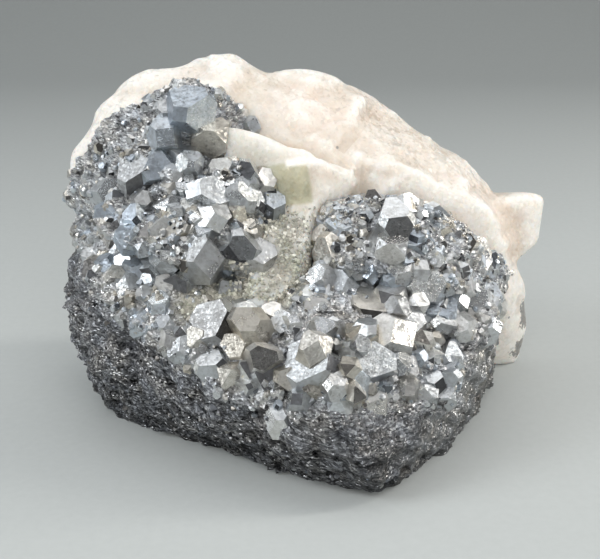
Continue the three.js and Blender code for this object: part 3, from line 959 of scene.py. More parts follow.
rows = [(*spot, *looks) for looks, spots in LARGE_CRYSTALS.values() for spot in spots]
rows = np.array(rows, float)
large_across, large_up, large_size, large_cut = rows[:, :4].T
large_looks = unit(rows[:, 4:])
large_points, _ = on_ore(large_across, large_up)
large_sink = np.where(large_up > HORN_STARTS, HORN_SINK, LARGE_SINK) * large_size
large_crystals = Crystals(large_points - large_sink[:, None] * unit(large_points - HEART),
                          large_size, large_cut, large_looks, FIRST_LARGE + np.arange(len(rows)))
print("large crystals:", len(rows))

# %% [markdown]
# ## The rest of the crust
# Between the large crystals the crust is a honeycomb of places, each shaken a little. Crystals
# grow outward, but every one strays its own way. Places too near a large crystal stay empty, and
# so does what lies below the rim, under the calcite or under the sand.

# %% Where crystals may stand and look
CRUST_STARTS = 0.5
BURIED = 0.8
BARE_CLEARS = 0.4
SAND_CLEARS = 0.36


def wandering_looks(out, index, stray):
    """Directions outward, each led astray by a random vector."""
    aside = np.stack([scatter(index, salt) for salt in (10, 11, 12)], 1) - 0.5
    return unit(out + 2 * stray * aside)


def open_crust(points):
    """Which points are above the rim and clear of calcite, sand and the bare zones."""
    out = unit(points - HEART)
    buried = calcite_reach(out) - ore_reach(out)
    return ((above_rim(points) > CRUST_STARTS) & (buried < BURIED)
            & (zone(BARE_ZONES, points) < BARE_CLEARS) & (zone(SANDY_ZONES, points) < SAND_CLEARS))


# %% Honeycomb of crystals
SPACING = 4.68
ROW_HEIGHT = 0.87
HONEYCOMB = 9
ACROSS_SHAKE = 0.5
UP_SHAKE = 0.6
SIZES = (1.9, 5.2)
CUTS = (0.42, 0.80)
ROOM = 0.58
STRAY = 1.1
SCATTERED_SINK = 0.42

cells = np.arange(-HONEYCOMB, HONEYCOMB + 1)
rows, columns = (grid.ravel() for grid in np.meshgrid(cells, cells, indexing="ij"))
index = 1.0 + np.arange(len(rows))
across = SPACING * (columns + 0.5 * (rows & 1) + ACROSS_SHAKE * (scatter(index, 1) - 0.5))
up = SPACING * ROW_HEIGHT * (rows + UP_SHAKE * (scatter(index, 2) - 0.5))
size = between(*SIZES, scatter(index, 3))
apart = np.hypot(large_across - across[:, None], large_up - up[:, None])
crowded = (apart < ROOM * (large_size + size[:, None])).any(1)
points, met = on_ore(across, up)
out = unit(points - HEART)
kept = met & ~crowded & open_crust(points)
crust_crystals = Crystals((points - SCATTERED_SINK * size[:, None] * out)[kept], size[kept],
                          between(*CUTS, scatter(index, 4))[kept],
                          wandering_looks(out, index, STRAY)[kept], index[kept])
print("crystals in the honeycomb:", int(kept.sum()))

# %% [markdown]
# ## Companions
# Crystals seldom grow alone. Each large one gets two smaller companions that lie beside it at
# nearly its height and look nearly its way, as in parallel growth.

# %% Companions of the large crystals
COMPANIONS = 2
COMPANION_STEP = 300
COMPANION_SIZES = (0.38, 0.78)
COMPANION_DISTANCES = (0.55, 0.80)
COMPANION_CUTS = (0.45, 0.75)
COMPANION_STRAY = 0.3
COMPANION_SINK = 0.40


def companions(parents, surface, looks, number):
    """A smaller crystal beside each parent: it stands aside at a random angle round the way
    out, and its size and its distance are random shares of the parent's size."""
    index = parents.index + COMPANION_STEP * number
    out = unit(surface - HEART)
    side = unit(np.cross(out, [0.0, 0.0, 1.0]))
    angle = 2 * math.pi * scatter(index, 31)[:, None]
    aside = np.cos(angle) * side + np.sin(angle) * np.cross(out, side)
    size = parents.size * between(*COMPANION_SIZES, scatter(index, 32))
    apart = parents.size * between(*COMPANION_DISTANCES, scatter(index, 33))
    beside = surface + apart[:, None] * aside
    centre = beside - COMPANION_SINK * size[:, None] * out
    kept = open_crust(beside)
    return Crystals(centre[kept], size[kept], between(*COMPANION_CUTS, scatter(index, 4))[kept],
                    wandering_looks(looks, index, COMPANION_STRAY)[kept], index[kept])


companion_crystals = [companions(large_crystals, large_points, large_looks, number)
                      for number in range(1, COMPANIONS + 1)]
crystals = crystal_mesh("crust_crystals", [large_crystals, crust_crystals, *companion_crystals])
print("companions:", sum(len(group.size) for group in companion_crystals))

# %% [markdown]
# ## Small crystals in the gaps
# Between large crystals there is always a younger crop, which fills the gaps, gathers round the
# large crystals' feet and leaves their faces clean. To find the gaps, the crust's own reach is
# worked out: each crystal is convex, so a ray from the heart leaves it at the nearest of the
# planes that it crosses outwards. Where the crust stands hardly above the ore there is a gap.
# Directions taken by the golden angle spread the small crystals evenly.

# %% Reach of the crust and even directions
FURTHEST_CORNER = 1.5


def crystals_reach(group, directions):
    """How far a group of crystals reaches. A face's plane in the crystal's own axes is
    normal . x = bound, and the ray meets it where its own share of the normal makes up
    the bound."""
    normals = np.vstack([CUBE_NORMALS, OCTAHEDRON_NORMALS])
    best = np.zeros(len(directions))
    for i, size in enumerate(group.size):
        away = group.centre[i] - HEART
        distance = np.linalg.norm(away)
        widest = math.cos(FURTHEST_CORNER * size / distance)
        near = np.flatnonzero(directions @ away > distance * widest)
        planes = (normals / group.stretch[i]) @ group.turn[i].T / size
        bounds = np.array([group.cut[i]] * 6 + [1.0] * 8) + planes @ away
        best[near] = np.maximum(best[near], ray_exit(bounds, directions[near] @ planes.T))
    return best


def golden_directions(count):
    """Even directions: heights in equal steps, and each turned by the golden angle."""
    steps = np.arange(count) + 0.5
    height = 1 - 2 * steps / count
    turn = math.pi * (1 + math.sqrt(5)) * steps
    ring = np.sqrt(1 - height ** 2)
    return np.stack([ring * np.cos(turn), ring * np.sin(turn), height], 1)


CALCITE_CLEARS = 0.3
LOWEST_GRAIN = 1.5


class Candidates:
    """Even spots of the stone's surface, with what lies there."""

    def __init__(self, count, first_index):
        self.out = golden_directions(count)
        self.index = first_index + np.arange(count, dtype=float)
        self.ore = np.maximum(ore_reach(self.out), sharp_exit(FOOT_NUB, self.out))
        self.calcite = calcite_reach(self.out)
        self.crust = np.max([crystals_reach(group, self.out) for group in
                             (large_crystals, crust_crystals, *companion_crystals)], axis=0)
        spots = HEART + self.out * self.ore[:, None]
        self.above = above_rim(spots)
        self.fill = self.ore + fill_height(spots, crust_share(spots, self.out))
        self.fine = zone(FINE_ZONES, spots)
        self.sand = zone(SANDY_ZONES, spots)
        self.open_ore = ((self.calcite < self.ore + CALCITE_CLEARS)
                         & (zone(BARE_ZONES, spots) < BARE_CLEARS) & (spots[:, 2] > LOWEST_GRAIN))

    def crystals(self, chosen, reach, size, sink, stray=STRAY):
        """Crystals of the chosen spots, sunk by a share of their size."""
        out, index, size = self.out[chosen], self.index[chosen], size[chosen]
        centre = HEART + out * (reach[chosen] - sink * size)[:, None]
        return Crystals(centre, size, between(*CUTS, scatter(index, 4)),
                        wandering_looks(out, index, stray), index)


# %% Small crystals
SMALL_COUNT = 3000
FIRST_SMALL = 3000
SMALL_SIZES = (2.4, 4.6)
SMALL_SHRINK = 0.3
GAP_DEPTH = 1.5
SMALL_CHANCE = 0.85
SMALL_LOSS = 0.6
SMALL_SINK = 0.34
SMALL_STRAY = 0.7

small = Candidates(SMALL_COUNT, FIRST_SMALL)
small_size = between(*SMALL_SIZES, scatter(small.index, 3)) * (1 - SMALL_SHRINK * small.fine)
in_gap = small.open_ore & (small.above > CRUST_STARTS) & (small.crust < small.ore + GAP_DEPTH)
in_gap &= scatter(small.index, 6) < SMALL_CHANCE - SMALL_LOSS * small.fine
in_gap &= small.sand < SAND_CLEARS
small_group = small.crystals(in_gap, small.ore, small_size, SMALL_SINK, SMALL_STRAY)
small_crystals = crystal_mesh("small_crystals", [small_group])
print("small crystals:", len(small_group.size))

# %% Grains at the feet of the crystals
FINE_COUNT = 16000
FIRST_FINE = 20000
FINE_SIZES = (0.6, 1.6)
STANDS_CLEAR = 0.3
FINE_CHANCE = 0.55
SAND_LOSS = 0.3
FINE_SINK = 0.38
OVERGROWTH_PATCH = 4.5
OVERGROWTH_LEVEL = 0.1
OVERGROWTH_REACH = 0.9
OVERGROWTH_SHARE = 0.9
OVERGROWTH_SINK = 0.3

fine = Candidates(FINE_COUNT, FIRST_FINE)
fine_size = between(*FINE_SIZES, scatter(fine.index, 3) ** 2)
level = np.maximum(fine.crust, crystals_reach(small_group, fine.out))
in_crust = fine.open_ore & (fine.above > CRUST_STARTS)
in_gap = in_crust & (level < fine.fill + STANDS_CLEAR)
in_gap &= scatter(fine.index, 5) < FINE_CHANCE - SAND_LOSS * fine.sand
grains = fine.crystals(in_gap, fine.fill, fine_size, FINE_SINK)
patchy = value_noise(HEART + fine.out * level[:, None], OVERGROWTH_PATCH, 12) > OVERGROWTH_LEVEL
overgrown = (in_crust & (level > fine.fill + STANDS_CLEAR)
             & (level < fine.fill + OVERGROWTH_REACH) & patchy)
overgrowth = fine.crystals(overgrown, level, OVERGROWTH_SHARE * fine_size, OVERGROWTH_SINK)
fine_crust = crystal_mesh("fine_crystals", [grains, overgrowth])
print("grains:", len(grains.size), "and", len(overgrowth.size), "grown on crystals")

# %% Glints on the flank
GLINT_CHANCE = 0.3
GLINT_SIZES = (0.56, 1.2)
GLINT_SINK = 0.7

on_flank = fine.open_ore & (fine.above < CRUST_STARTS) & (scatter(fine.index, 6) < GLINT_CHANCE)
glint_size = between(*GLINT_SIZES, scatter(fine.index, 3))
glints = fine.crystals(on_flank, fine.ore, glint_size, GLINT_SINK)
flank_glints = crystal_mesh("flank_glints", [glints])

# %% [markdown]
# ## The calcite
# Calcite splits into leaning rhombs, so a broken mass of it is a heap of blocky steps that
# handling has softened. The blocks are laid over the mass as in the solid. The surface then
# gets soft facets along the cleavage, and smooth shading, because milky calcite scatters light
# inside and never looks crisp. Three of its marks are worked out here and kept in an attribute
# for the finish: how far each point stands proud of the form round it, the clear block and the
# bright step.

# %% Cleavage blocks
CLEAVAGE_LEAN = math.acos(0.4427)
RHOMB_PROUD = 1.3
TURN_SPREAD = 14
FRONT_TURN = (62, 8, 24)
BACK_TURN = (-50, 14, 200)
FRONT_RHOMBS = [
    ([-16.5, 10, 54], [11, 9, 9]), ([-3, 11.5, 51.5], [9, 9, 10]), ([8, 11, 46.5], [12, 9, 9]),
    ([20, 11, 40.5], [12, 10, 9]), ([-1.5, -5, 40], [7, 6, 7]), ([8, -0.5, 42], [9, 7, 6]),
    ([16, 0.5, 39], [7, 8, 6]), ([27, 3, 34.5], [9, 7, 7]), ([36, 5, 24], [8, 9, 8]),
    ([38, 8, 12], [9, 9, 10]), ([-39, 6, 37], [7, 6, 8]),
]
BACK_RHOMBS = [
    ([-27, 15, 42], [15, 11, 12]), ([-7, 19, 45], [13, 13, 11]), ([14, 19, 36], [14, 12, 12]),
    ([31, 16, 26], [12, 11, 12]), ([-31, 13, 22], [12, 13, 11]), ([-10, 20, 22], [15, 12, 14]),
    ([14, 20, 15], [14, 15, 11]),
]
RIDGE_HORN = [
    [37, 6, 33], [39.5, 5.5, 35], [44, 7, 34.5], [45, 10, 33.5], [43.5, 14, 33], [38, 15, 33],
    [36, 5, 24], [42, 6, 23], [44, 10, 24], [41, 15, 21], [33, 12, 22],
]


def cleavage_axes(degrees):
    """The rhomb's three edges: unit vectors that lean out evenly from one axis, turned."""
    around = 2 * math.pi * np.arange(3) / 3
    sine, cosine = math.sin(CLEAVAGE_LEAN), math.cos(CLEAVAGE_LEAN)
    upright = np.stack([sine * np.sin(around), np.full(3, cosine), sine * np.cos(around)], 1)
    turn = np.eye(3)
    for angle, axis in zip(degrees, "XYZ"):
        turn = turn @ np.array(Matrix.Rotation(math.radians(angle), 3, axis))
    return upright @ turn.T


CUBE_CORNERS = np.array(list(itertools.product((-0.5, 0.5), repeat=3)))


def rhomb_corners(at, edges, turn, index):
    """A rhomb's eight corners, set so that its outermost one stands just proud."""
    axes = cleavage_axes([angle + TURN_SPREAD * (2 * scatter(index, salt) - 1)
                          for angle, salt in zip(turn, (1, 2, 3))])
    out = unit(np.array(at, float) - HEART)
    half_reach = (0.5 * np.array(edges) * np.abs(axes @ out)).sum()
    centre = HEART + out * (calcite_reach(out[None])[0] + RHOMB_PROUD - half_reach)
    return centre + (CUBE_CORNERS * np.array(edges)) @ axes


rhombs = [rhomb_corners(*rhomb, FRONT_TURN, 1 + i) for i, rhomb in enumerate(FRONT_RHOMBS)]
rhombs += [rhomb_corners(*rhomb, BACK_TURN, 50 + i) for i, rhomb in enumerate(BACK_RHOMBS)]
print("cleavage blocks:", len(rhombs))

# %% Calcite mass
CALCITE_STEPS = 124
CALCITE_WEAR = 9
FACET_WEAR = 2
RHOMB_SHARE = 0.6
BRUISE_WEAR = 60
HIDDEN_STEP = 0.6
# Steepness or height, size in millimetres, and salt.
CLEAVAGE_FACETS = [(0.06, 9.0, 31), (0.05, 3.4, 32)]
CALCITE_WAVES = [(0.07, 3.0, 33), (0.09, 1.2, 34)]


def calcite_relief(points):
    """Soft facets along the cleavage at about 9 and 3 mm, and broad waves."""
    oblique = points @ np.linalg.inv(cleavage_axes(FRONT_TURN))
    return unevenness(oblique, CLEAVAGE_FACETS, []) + unevenness(points, [], CALCITE_WAVES)


directions, quads = cube_sphere(CALCITE_STEPS)
reach = calcite_reach(directions)
proud = [sharp_exit(corners, directions) - reach for corners in rhombs]
reach += RHOMB_SHARE * np.maximum(np.max(proud, axis=0), 0)
reach = np.maximum(reach, sharp_exit(RIDGE_HORN, directions))
reach = worn(reach, quads, CALCITE_WEAR)
ore_here = ore_reach(directions)
reach = worn(reach + calcite_relief(directions * reach[:, None] + HEART), quads, FACET_WEAR)
proud_by = reach - worn(reach, quads, BRUISE_WEAR)
hidden = reach < ore_here
reach = np.minimum(reach, ground_reach(directions))
reach = np.where(hidden, np.minimum(reach, ore_here) - HIDDEN_STEP, reach)
calcite_points = directions * reach[:, None] + HEART
calcite_mass = add_mesh("calcite_mass", calcite_points, [quads], True)

# %% Zones of colour in the calcite
PINK_ZONES = [([0, 2, 51], 5.0), ([5, 4, 50], 5.0), ([31, -2, 34], 6.0), ([36, 2, 28], 7.0)]
GREY_ZONES = [
    ([-2, -8.5, 40], 4.5), ([-4, -10, 42], 3.0), ([-14, -8, 48], 4.0), ([-7, -7.5, 46], 4.0),
]
ORE_PATCHES = [
    ([41.9, 8.2, 12.0], 1.6), ([42.2, 8.4, 9.6], 1.7), ([41.7, 9.2, 5.0], 1.4),
    ([41.0, 9.4, 3.2], 1.7), ([42.0, 8.6, 23.5], 1.1), ([-24.6, 9.4, 56.2], 1.1),
]

paint_points(calcite_mass, "zones",
             *(zone(zones, calcite_points) for zones in (PINK_ZONES, GREY_ZONES, SANDY_ZONES)))
caught = zone(ORE_PATCHES, calcite_points)
paint_points(calcite_mass, "caught", caught, caught, caught)
print("ore caught in the calcite:", int((caught > 0.5).sum()), "points")

# %% Marks of the cleavage
BLOCK_AXES = np.array([[1.0, 0.0, 0.12], [0.0, 0.94, -0.34], [-0.14, 0.3, 0.95]])
CLEAR_BLOCK = ([-2.1, -8.5, 40.2], [3.8, 6.0, 3.4])
BRIGHT_STEP = ([0.6, -8.5, 44.2], [3.0, 6.0, 0.6])
BLOCK_BLEND = 0.5
BRUISE_HEIGHT = 0.5


def inside_block(block, points):
    """1 inside a leaning block and 0 outside, changing over half a millimetre."""
    at, halves = block
    along = (points - np.array(at)) @ np.linalg.inv(BLOCK_AXES)
    return np.clip((np.array(halves) - np.abs(along)) / BLOCK_BLEND + 0.5, 0, 1).prod(1)


# How proud each point stands: bruising on the edges, and painted shade in the hollows.
bruise_and_hollow_shade = np.clip(0.5 + 0.5 * proud_by / BRUISE_HEIGHT, 0, 1)
paint_points(calcite_mass, "marks", bruise_and_hollow_shade,
             *(inside_block(block, calcite_points) for block in (CLEAR_BLOCK, BRIGHT_STEP)))

# %% [markdown]
# ## The druse
# Down the channel, and along the seam between the minerals, lies a sandy crust of tiny calcite
# rhombs. They are real little blocks, about a thousand of them, because a bump can't make the
# ragged edge where such a crust thins out over dark metal.

# %% Mesh of rhombs
def rhomb_mesh(name, centres, sizes, index):
    """One mesh of small rhombs: eight corners that are sums of three leaning edges, each rhomb
    turned its own way by a random quaternion."""
    quaternion = unit(np.stack([scatter(index, salt) - 0.5 for salt in (41, 42, 43, 44)], 1))
    w, x, y, z = quaternion.T
    turn = np.stack([
        np.stack([1 - 2 * (y * y + z * z), 2 * (x * y - z * w), 2 * (x * z + y * w)], 1),
        np.stack([2 * (x * y + z * w), 1 - 2 * (x * x + z * z), 2 * (y * z - x * w)], 1),
        np.stack([2 * (x * z - y * w), 2 * (y * z + x * w), 1 - 2 * (x * x + y * y)], 1)], 1)
    edges = cleavage_axes((0, 0, 0))
    placed = np.einsum("kij,cj->kci", turn, CUBE_CORNERS @ edges) * sizes[:, None, None]
    placed += centres[:, None]
    sides = [[axis * (1 if end else -1) for axis in row] for row in np.eye(3) for end in (0, 1)]
    faces = faces_of(CUBE_CORNERS, np.array(sides, float))
    faces = faces if np.linalg.det(edges) > 0 else faces[:, ::-1]
    starts = np.arange(len(centres)) * len(CUBE_CORNERS)
    block = (starts[:, None, None] + faces[None]).reshape(-1, 4)
    piece = add_mesh(name, placed.reshape(-1, 3), [block], False)
    tints = as_colours(scatter(index, 45), scatter(index, 46), scatter(index, 47))
    paint_corners(piece, "tint", np.repeat(tints, len(faces), axis=0), np.full(len(block), 4))
    return piece


# %% Sowing the rhombs
SPOTS = 60000
FIRST_SPOT = 100000
FURTHEST_BACK = 0.25
LOWEST_SAND = 14.0
CLEAR_OF_RIM = 1.0
SEAM_MIDDLE = 0.2
SEAM_WIDTH = 0.9
SAND_CHANCE = 0.7
SEAM_CHANCE = 0.3
STANDS_OUT = 0.4
LOW_CRYSTALS = 2.5
DUSTED_CHANCE = 0.22
LONE_CHANCE = 0.02
RHOMB_SIZES = (0.24, 0.58)
RHOMB_SINK = 0.15

spots = Candidates(SPOTS, FIRST_SPOT)
ground = np.maximum(spots.fill, spots.calcite)
bare = spots.crust < ground + STANDS_OUT
spot_points = HEART + spots.out * np.maximum(ground, spots.crust)[:, None]
facing = (spots.out[:, 1] < FURTHEST_BACK) & (spot_points[:, 2] > LOWEST_SAND)
facing &= spots.above > CLEAR_OF_RIM
seam = np.exp(-((spots.calcite - spots.ore - SEAM_MIDDLE) / SEAM_WIDTH) ** 2)
sandiness = zone(SANDY_ZONES, spot_points)
chance = np.where(facing & bare, SAND_CHANCE * sandiness + SEAM_CHANCE * seam, 0)
dusted = facing & ~bare & (spots.crust < spots.ore + LOW_CRYSTALS)
chance = np.where(dusted, DUSTED_CHANCE * sandiness + LONE_CHANCE, chance)
sown = scatter(spots.index, 48) < chance
druse_size = between(*RHOMB_SIZES, scatter(spots.index, 49) ** 2)
druse = rhomb_mesh("calcite_druse", (spot_points - RHOMB_SINK * spots.out)[sown],
                   druse_size[sown], spots.index[sown])

# %% [markdown]
# ## Finishes from nodes
# Each finish is a shader whose colour, roughness and bump change over the surface. Two effects
# are used by more than one mineral, so they are groups: broken facets, which tilt the surface
# grain by grain and make it sparkle, and mottling, a soft noise with finer detail laid over it.

# %% Group: broken facets
def new_group(name, inputs, outputs):
    """An empty node group with named sockets. Returns the group and its two end nodes."""
    group = bpy.data.node_groups.new(name, "ShaderNodeTree")
    for socket, kind, value in inputs:
        made = group.interface.new_socket(socket, in_out="INPUT", socket_type=kind)
        if value is not None:
            made.default_value = value
    for socket, kind in outputs:
        group.interface.new_socket(socket, in_out="OUTPUT", socket_type=kind)
    return group, group.nodes.new("NodeGroupInput"), group.nodes.new("NodeGroupOutput")


facets, start, end = new_group(
    "broken_facets",
    [("Position", "NodeSocketVector", None), ("Cells per metre", "NodeSocketFloat", 1000.0),
     ("Steepness", "NodeSocketFloat", 0.5)],
    [("Height", "NodeSocketFloat"), ("Random", "NodeSocketColor")])
cells = add_node(facets, "ShaderNodeTexVoronoi",
                 {"Vector": start.outputs["Position"], "Scale": start.outputs["Cells per metre"]})
offset = vector_node(facets, "SUBTRACT", start.outputs["Position"], cells.outputs["Position"])
lean = vector_node(facets, "SUBTRACT", cells.outputs["Color"], (0.5, 0.5, 0.5))
slope = vector_node(facets, "DOT_PRODUCT", offset.outputs["Vector"], lean.outputs["Vector"])
height = math_node(facets, "MULTIPLY", slope.outputs["Value"], start.outputs["Steepness"])
facets.links.new(height, end.inputs["Height"])
facets.links.new(cells.outputs["Color"], end.inputs["Random"])

# %% Group: mottling
mottling, start, end = new_group(
    "mottling",
    [("Position", "NodeSocketVector", None), ("Patches per metre", "NodeSocketFloat", 200.0)],
    [("Value", "NodeSocketFloat")])
broad = add_node(mottling, "ShaderNodeTexNoise",
                 {"Vector": start.outputs["Position"], "Scale": start.outputs["Patches per metre"],
                  "Detail": 3.0, "Roughness": 0.6})
mottling.links.new(broad.outputs["Fac"], end.inputs["Value"])

# %% Placing the groups
METRE = 1000


def place_facets(tree, position, size_mm, steepness):
    """Puts the facets group into a material, for grains of a size in millimetres. Returns its
    height and its random colour."""
    node = add_node(tree, "ShaderNodeGroup", {
        "Position": position, "Cells per metre": METRE / size_mm, "Steepness": steepness,
    }, node_tree=facets)
    return node.outputs["Height"], node.outputs["Random"]


def place_mottling(tree, position, size_mm):
    """Puts the mottling group into a material, for patches of a size in millimetres."""
    return add_node(tree, "ShaderNodeGroup", {
        "Position": position, "Patches per metre": METRE / size_mm,
    }, node_tree=mottling).outputs["Value"]


def new_finish(name):
    """A material with only a shader, and the position that its patterns are made from."""
    finish = bpy.data.materials.new(name)
    finish.use_nodes = True
    tree = finish.node_tree
    position = add_node(tree, "ShaderNodeTexCoord").outputs["Object"]
    return finish, tree, tree.nodes["Principled BSDF"], position


def grain_bump(tree, shader, heights):
    """Adds heights in metres together and bumps the surface by them."""
    total = heights[0]
    for more in heights[1:]:
        total = math_node(tree, "ADD", total, more)
    bump = add_node(tree, "ShaderNodeBump", {"Height": total, "Strength": 1.0, "Distance": 1.0})
    tree.links.new(bump.outputs["Normal"], shader.inputs["Normal"])


# %% [markdown]
# ## Crystal metal
# Skutterudite is tin-white and takes a mirror polish from nature, but no two faces are alike:
# some are smooth, some are pitted and peppered with dark grains, and a thin tarnish turns some
# crystals blue or straw gold. A few faces turned to the viewer get painted shade, nearly black.
# Each face carries three numbers, which pick its tone, its tarnish and how polished or etched
# it is.

# %% Tones of the metal
WHITE = (1.0, 1.0, 1.0)
BLACK = (0.0, 0.0, 0.0)
# The lowest tenth of the tones is the painted shade of faces turned to the viewer.
CRYSTAL_TONES = [
    (0.0, (0.10, 0.10, 0.105)), (0.09, (0.26, 0.26, 0.27)), (0.1, (0.56, 0.57, 0.59)),
    (0.35, (0.66, 0.67, 0.69)), (0.75, (0.72, 0.73, 0.75)), (1.0, (0.84, 0.83, 0.81)),
]
CRYSTAL_ROUGHNESS = (0.17, 0.42)
GLINT_TONES = [(0.0, (0.16, 0.16, 0.17)), (0.7, (0.34, 0.34, 0.36)), (1.0, (0.62, 0.62, 0.62))]
GLINT_ROUGHNESS = (0.2, 0.4)
TARNISHES = [
    (0.0, (0.84, 0.92, 1.0)), (0.2, (0.96, 0.99, 1.0)), (0.72, (1.0, 0.99, 0.96)),
    (1.0, (1.0, 0.93, 0.80)),
]
DULL_PATCHES = [(0.35, (0.84, 0.83, 0.82)), (0.62, WHITE)]
SOIL = [(0.38, (0.74, 0.73, 0.70)), (0.55, WHITE)]
SOIL_SHARE = 0.5
# Dark grains are the metal's own; the brightest, lifted past white, are painted glints.
PEPPER_AND_GLINTS = [
    (0.06, (0.50, 0.49, 0.48)), (0.16, (0.97, 0.97, 0.97)), (0.85, WHITE), (1.0, (1.2, 1.2, 1.2)),
]
PEPPER_SHARE = 0.4

# %% Relief of the metal
ETCH_RANGE = (0.35, 0.85)
LEAST_ETCHED = 0.5
MOST_ETCHED = 1.6
PATCH_SIZE = 2.2
PATCH_ROUGHNESS = 0.12
SOIL_SIZE = 0.7
PEPPER_SIZE = 0.34
# Facets in the bump: their size in millimetres and their steepness.
GROWTH_STEPS = (2.2, 0.09)
PITS = (0.42, 0.18)
ETCHING = (0.2, 0.26)


def metal_finish(name, tones, roughness):
    """A metal whose tone, tarnish and polish are picked by the random numbers of each face."""
    finish, tree, shader, position = new_finish(name)
    tone, tarnish, etch = attribute_parts(tree, "tint")
    patches = place_mottling(tree, position, PATCH_SIZE)
    soil = place_mottling(tree, position, SOIL_SIZE)
    etched = remap(tree, etch, LEAST_ETCHED, MOST_ETCHED, *ETCH_RANGE)
    grains, _, _ = split(tree, place_facets(tree, position, PEPPER_SIZE, 0.0)[1])
    colour = tinted(tree, add_ramp(tree, tone, tones), add_ramp(tree, tarnish, TARNISHES))
    colour = tinted(tree, colour, add_ramp(tree, patches, DULL_PATCHES))
    colour = tinted(tree, colour, add_ramp(tree, soil, SOIL), SOIL_SHARE)
    colour = tinted(tree, colour, add_ramp(tree, grains, PEPPER_AND_GLINTS),
                    math_node(tree, "MULTIPLY", etched, PEPPER_SHARE))
    tree.links.new(colour, shader.inputs["Base Color"])
    shader.inputs["Metallic"].default_value = 1.0
    rough = math_node(tree, "ADD", remap(tree, etch, *roughness),
                      math_node(tree, "MULTIPLY", patches, PATCH_ROUGHNESS))
    tree.links.new(rough, shader.inputs["Roughness"])
    steps, pits, etching = (place_facets(tree, position, *facet)[0]
                            for facet in (GROWTH_STEPS, PITS, ETCHING))
    pitted = math_node(tree, "MULTIPLY", math_node(tree, "ADD", pits, etching), etched)
    grain_bump(tree, shader, [steps, pitted])
    return finish


crystal_metal = metal_finish("crystal_metal", CRYSTAL_TONES, CRYSTAL_ROUGHNESS)
flank_metal = metal_finish("flank_metal", GLINT_TONES, GLINT_ROUGHNESS)

# %% [markdown]
# ## Massive ore
# The ore between and under the crystals is the same metal in grains. Freshly broken grains shine
# among dull ones, more so in the crust, and on the fine-grained side all of them are matt. The
# grains lie in the layers, so their pattern is squeezed as the relief was. The hollows, which the
# mesh has kept in an attribute, get painted shade, the foot gets painted shade too, and sand
# dusts the channel.

# %% Tones of the ore
ORE_TONES = [(0.0, (0.13, 0.13, 0.135)), (0.6, (0.30, 0.30, 0.31)), (1.0, (0.72, 0.72, 0.72))]
FRESH_TONES = [(0.0, (0.34, 0.34, 0.345)), (0.5, (0.62, 0.62, 0.63)), (1.0, (0.95, 0.95, 0.94))]
MATT_TONES = [(0.0, (0.38, 0.38, 0.38)), (0.6, (0.50, 0.50, 0.495)), (1.0, (0.66, 0.66, 0.65))]
COOL_AND_WARM = [(0.35, (0.91, 0.95, 1.0)), (0.65, (1.0, 0.97, 0.92))]
# Painted shade in the hollows of the ore.
HOLLOW_SHADE = [(0.15, (0.42, 0.42, 0.42)), (0.65, WHITE)]
# Painted shade at the foot: how dark it gets, and over which heights it fades.
FOOT_SHADE = 0.48
FOOT_HEIGHTS = (2 * MM, 16 * MM)
DUST = (0.50, 0.48, 0.41, 1)
DUSTINESS = 2.2
ORE_METAL = 2.0
ORE_ROUGHNESS = (0.26, 0.6)
SIDE_CALM = 0.4
ORE_PATCH_SIZE = 3.5
DUST_SIZE = 1.6
ORE_GRAINS = (0.5, 0.85)
FINE_ORE_GRAINS = (0.24, 1.2)

# %% Ore finish
ore_finish, tree, shader, position = new_finish("massive_ore")
hollowness, sandy, in_crust = attribute_parts(tree, "cavity")
on_side, _, _ = attribute_parts(tree, "side")
across = vector_node(tree, "DOT_PRODUCT", position, tuple(RIM_NORMAL)).outputs["Value"]
stretch = add_node(tree, "ShaderNodeVectorMath", {
    0: tuple(RIM_NORMAL * (LAYER_SQUEEZE - 1)), "Scale": across}, operation="SCALE")
sheets = vector_node(tree, "ADD", position, stretch.outputs["Vector"]).outputs["Vector"]
coarse, random = place_facets(tree, sheets, *ORE_GRAINS)
fine, _ = place_facets(tree, position, *FINE_ORE_GRAINS)
first, second, third = split(tree, random)
tone = mix_colours(tree, in_crust, add_ramp(tree, first, ORE_TONES),
                   add_ramp(tree, first, FRESH_TONES))
tone = mix_colours(tree, on_side, tone, add_ramp(tree, second, MATT_TONES))
patches = place_mottling(tree, position, ORE_PATCH_SIZE)
# Painted shade at the foot: the ore darkens towards the ground.
height = add_node(tree, "ShaderNodeSeparateXYZ", {"Vector": position}).outputs["Z"]
foot = remap(tree, height, FOOT_SHADE, 1.0, *FOOT_HEIGHTS)
shade = tinted(tree, add_ramp(tree, hollowness, HOLLOW_SHADE), foot)
colour = tinted(tree, tone, add_ramp(tree, patches, COOL_AND_WARM))
colour = tinted(tree, colour, shade)
dusting = math_node(tree, "MULTIPLY", place_mottling(tree, position, DUST_SIZE), sandy)
dusted = math_node(tree, "MULTIPLY", dusting, DUSTINESS, clamp=True)
tree.links.new(mix_colours(tree, dusted, colour, DUST), shader.inputs["Base Color"])
metal = math_node(tree, "MULTIPLY", patches, ORE_METAL)
metal = math_node(tree, "SUBTRACT", metal, dusted, clamp=True)
tree.links.new(metal, shader.inputs["Metallic"])
tree.links.new(remap(tree, third, *ORE_ROUGHNESS), shader.inputs["Roughness"])
calm = remap(tree, on_side, 1.0, SIDE_CALM)
grain_bump(tree, shader, [math_node(tree, "MULTIPLY", grain, calm) for grain in (coarse, fine)])

# %% [markdown]
# ## Milky calcite
# The calcite is white with clouds of cream and pink, in domains that meet along the cleavage,
# and grey on the saddle, where one block is nearly clear under a bright step. Edges that stand
# proud are bruised white and sugary. Light enters the mass and comes out a little further on, so
# the shader scatters light below the surface. A few specks of dark ore are caught in it, and
# some grey patches at its right-hand end.

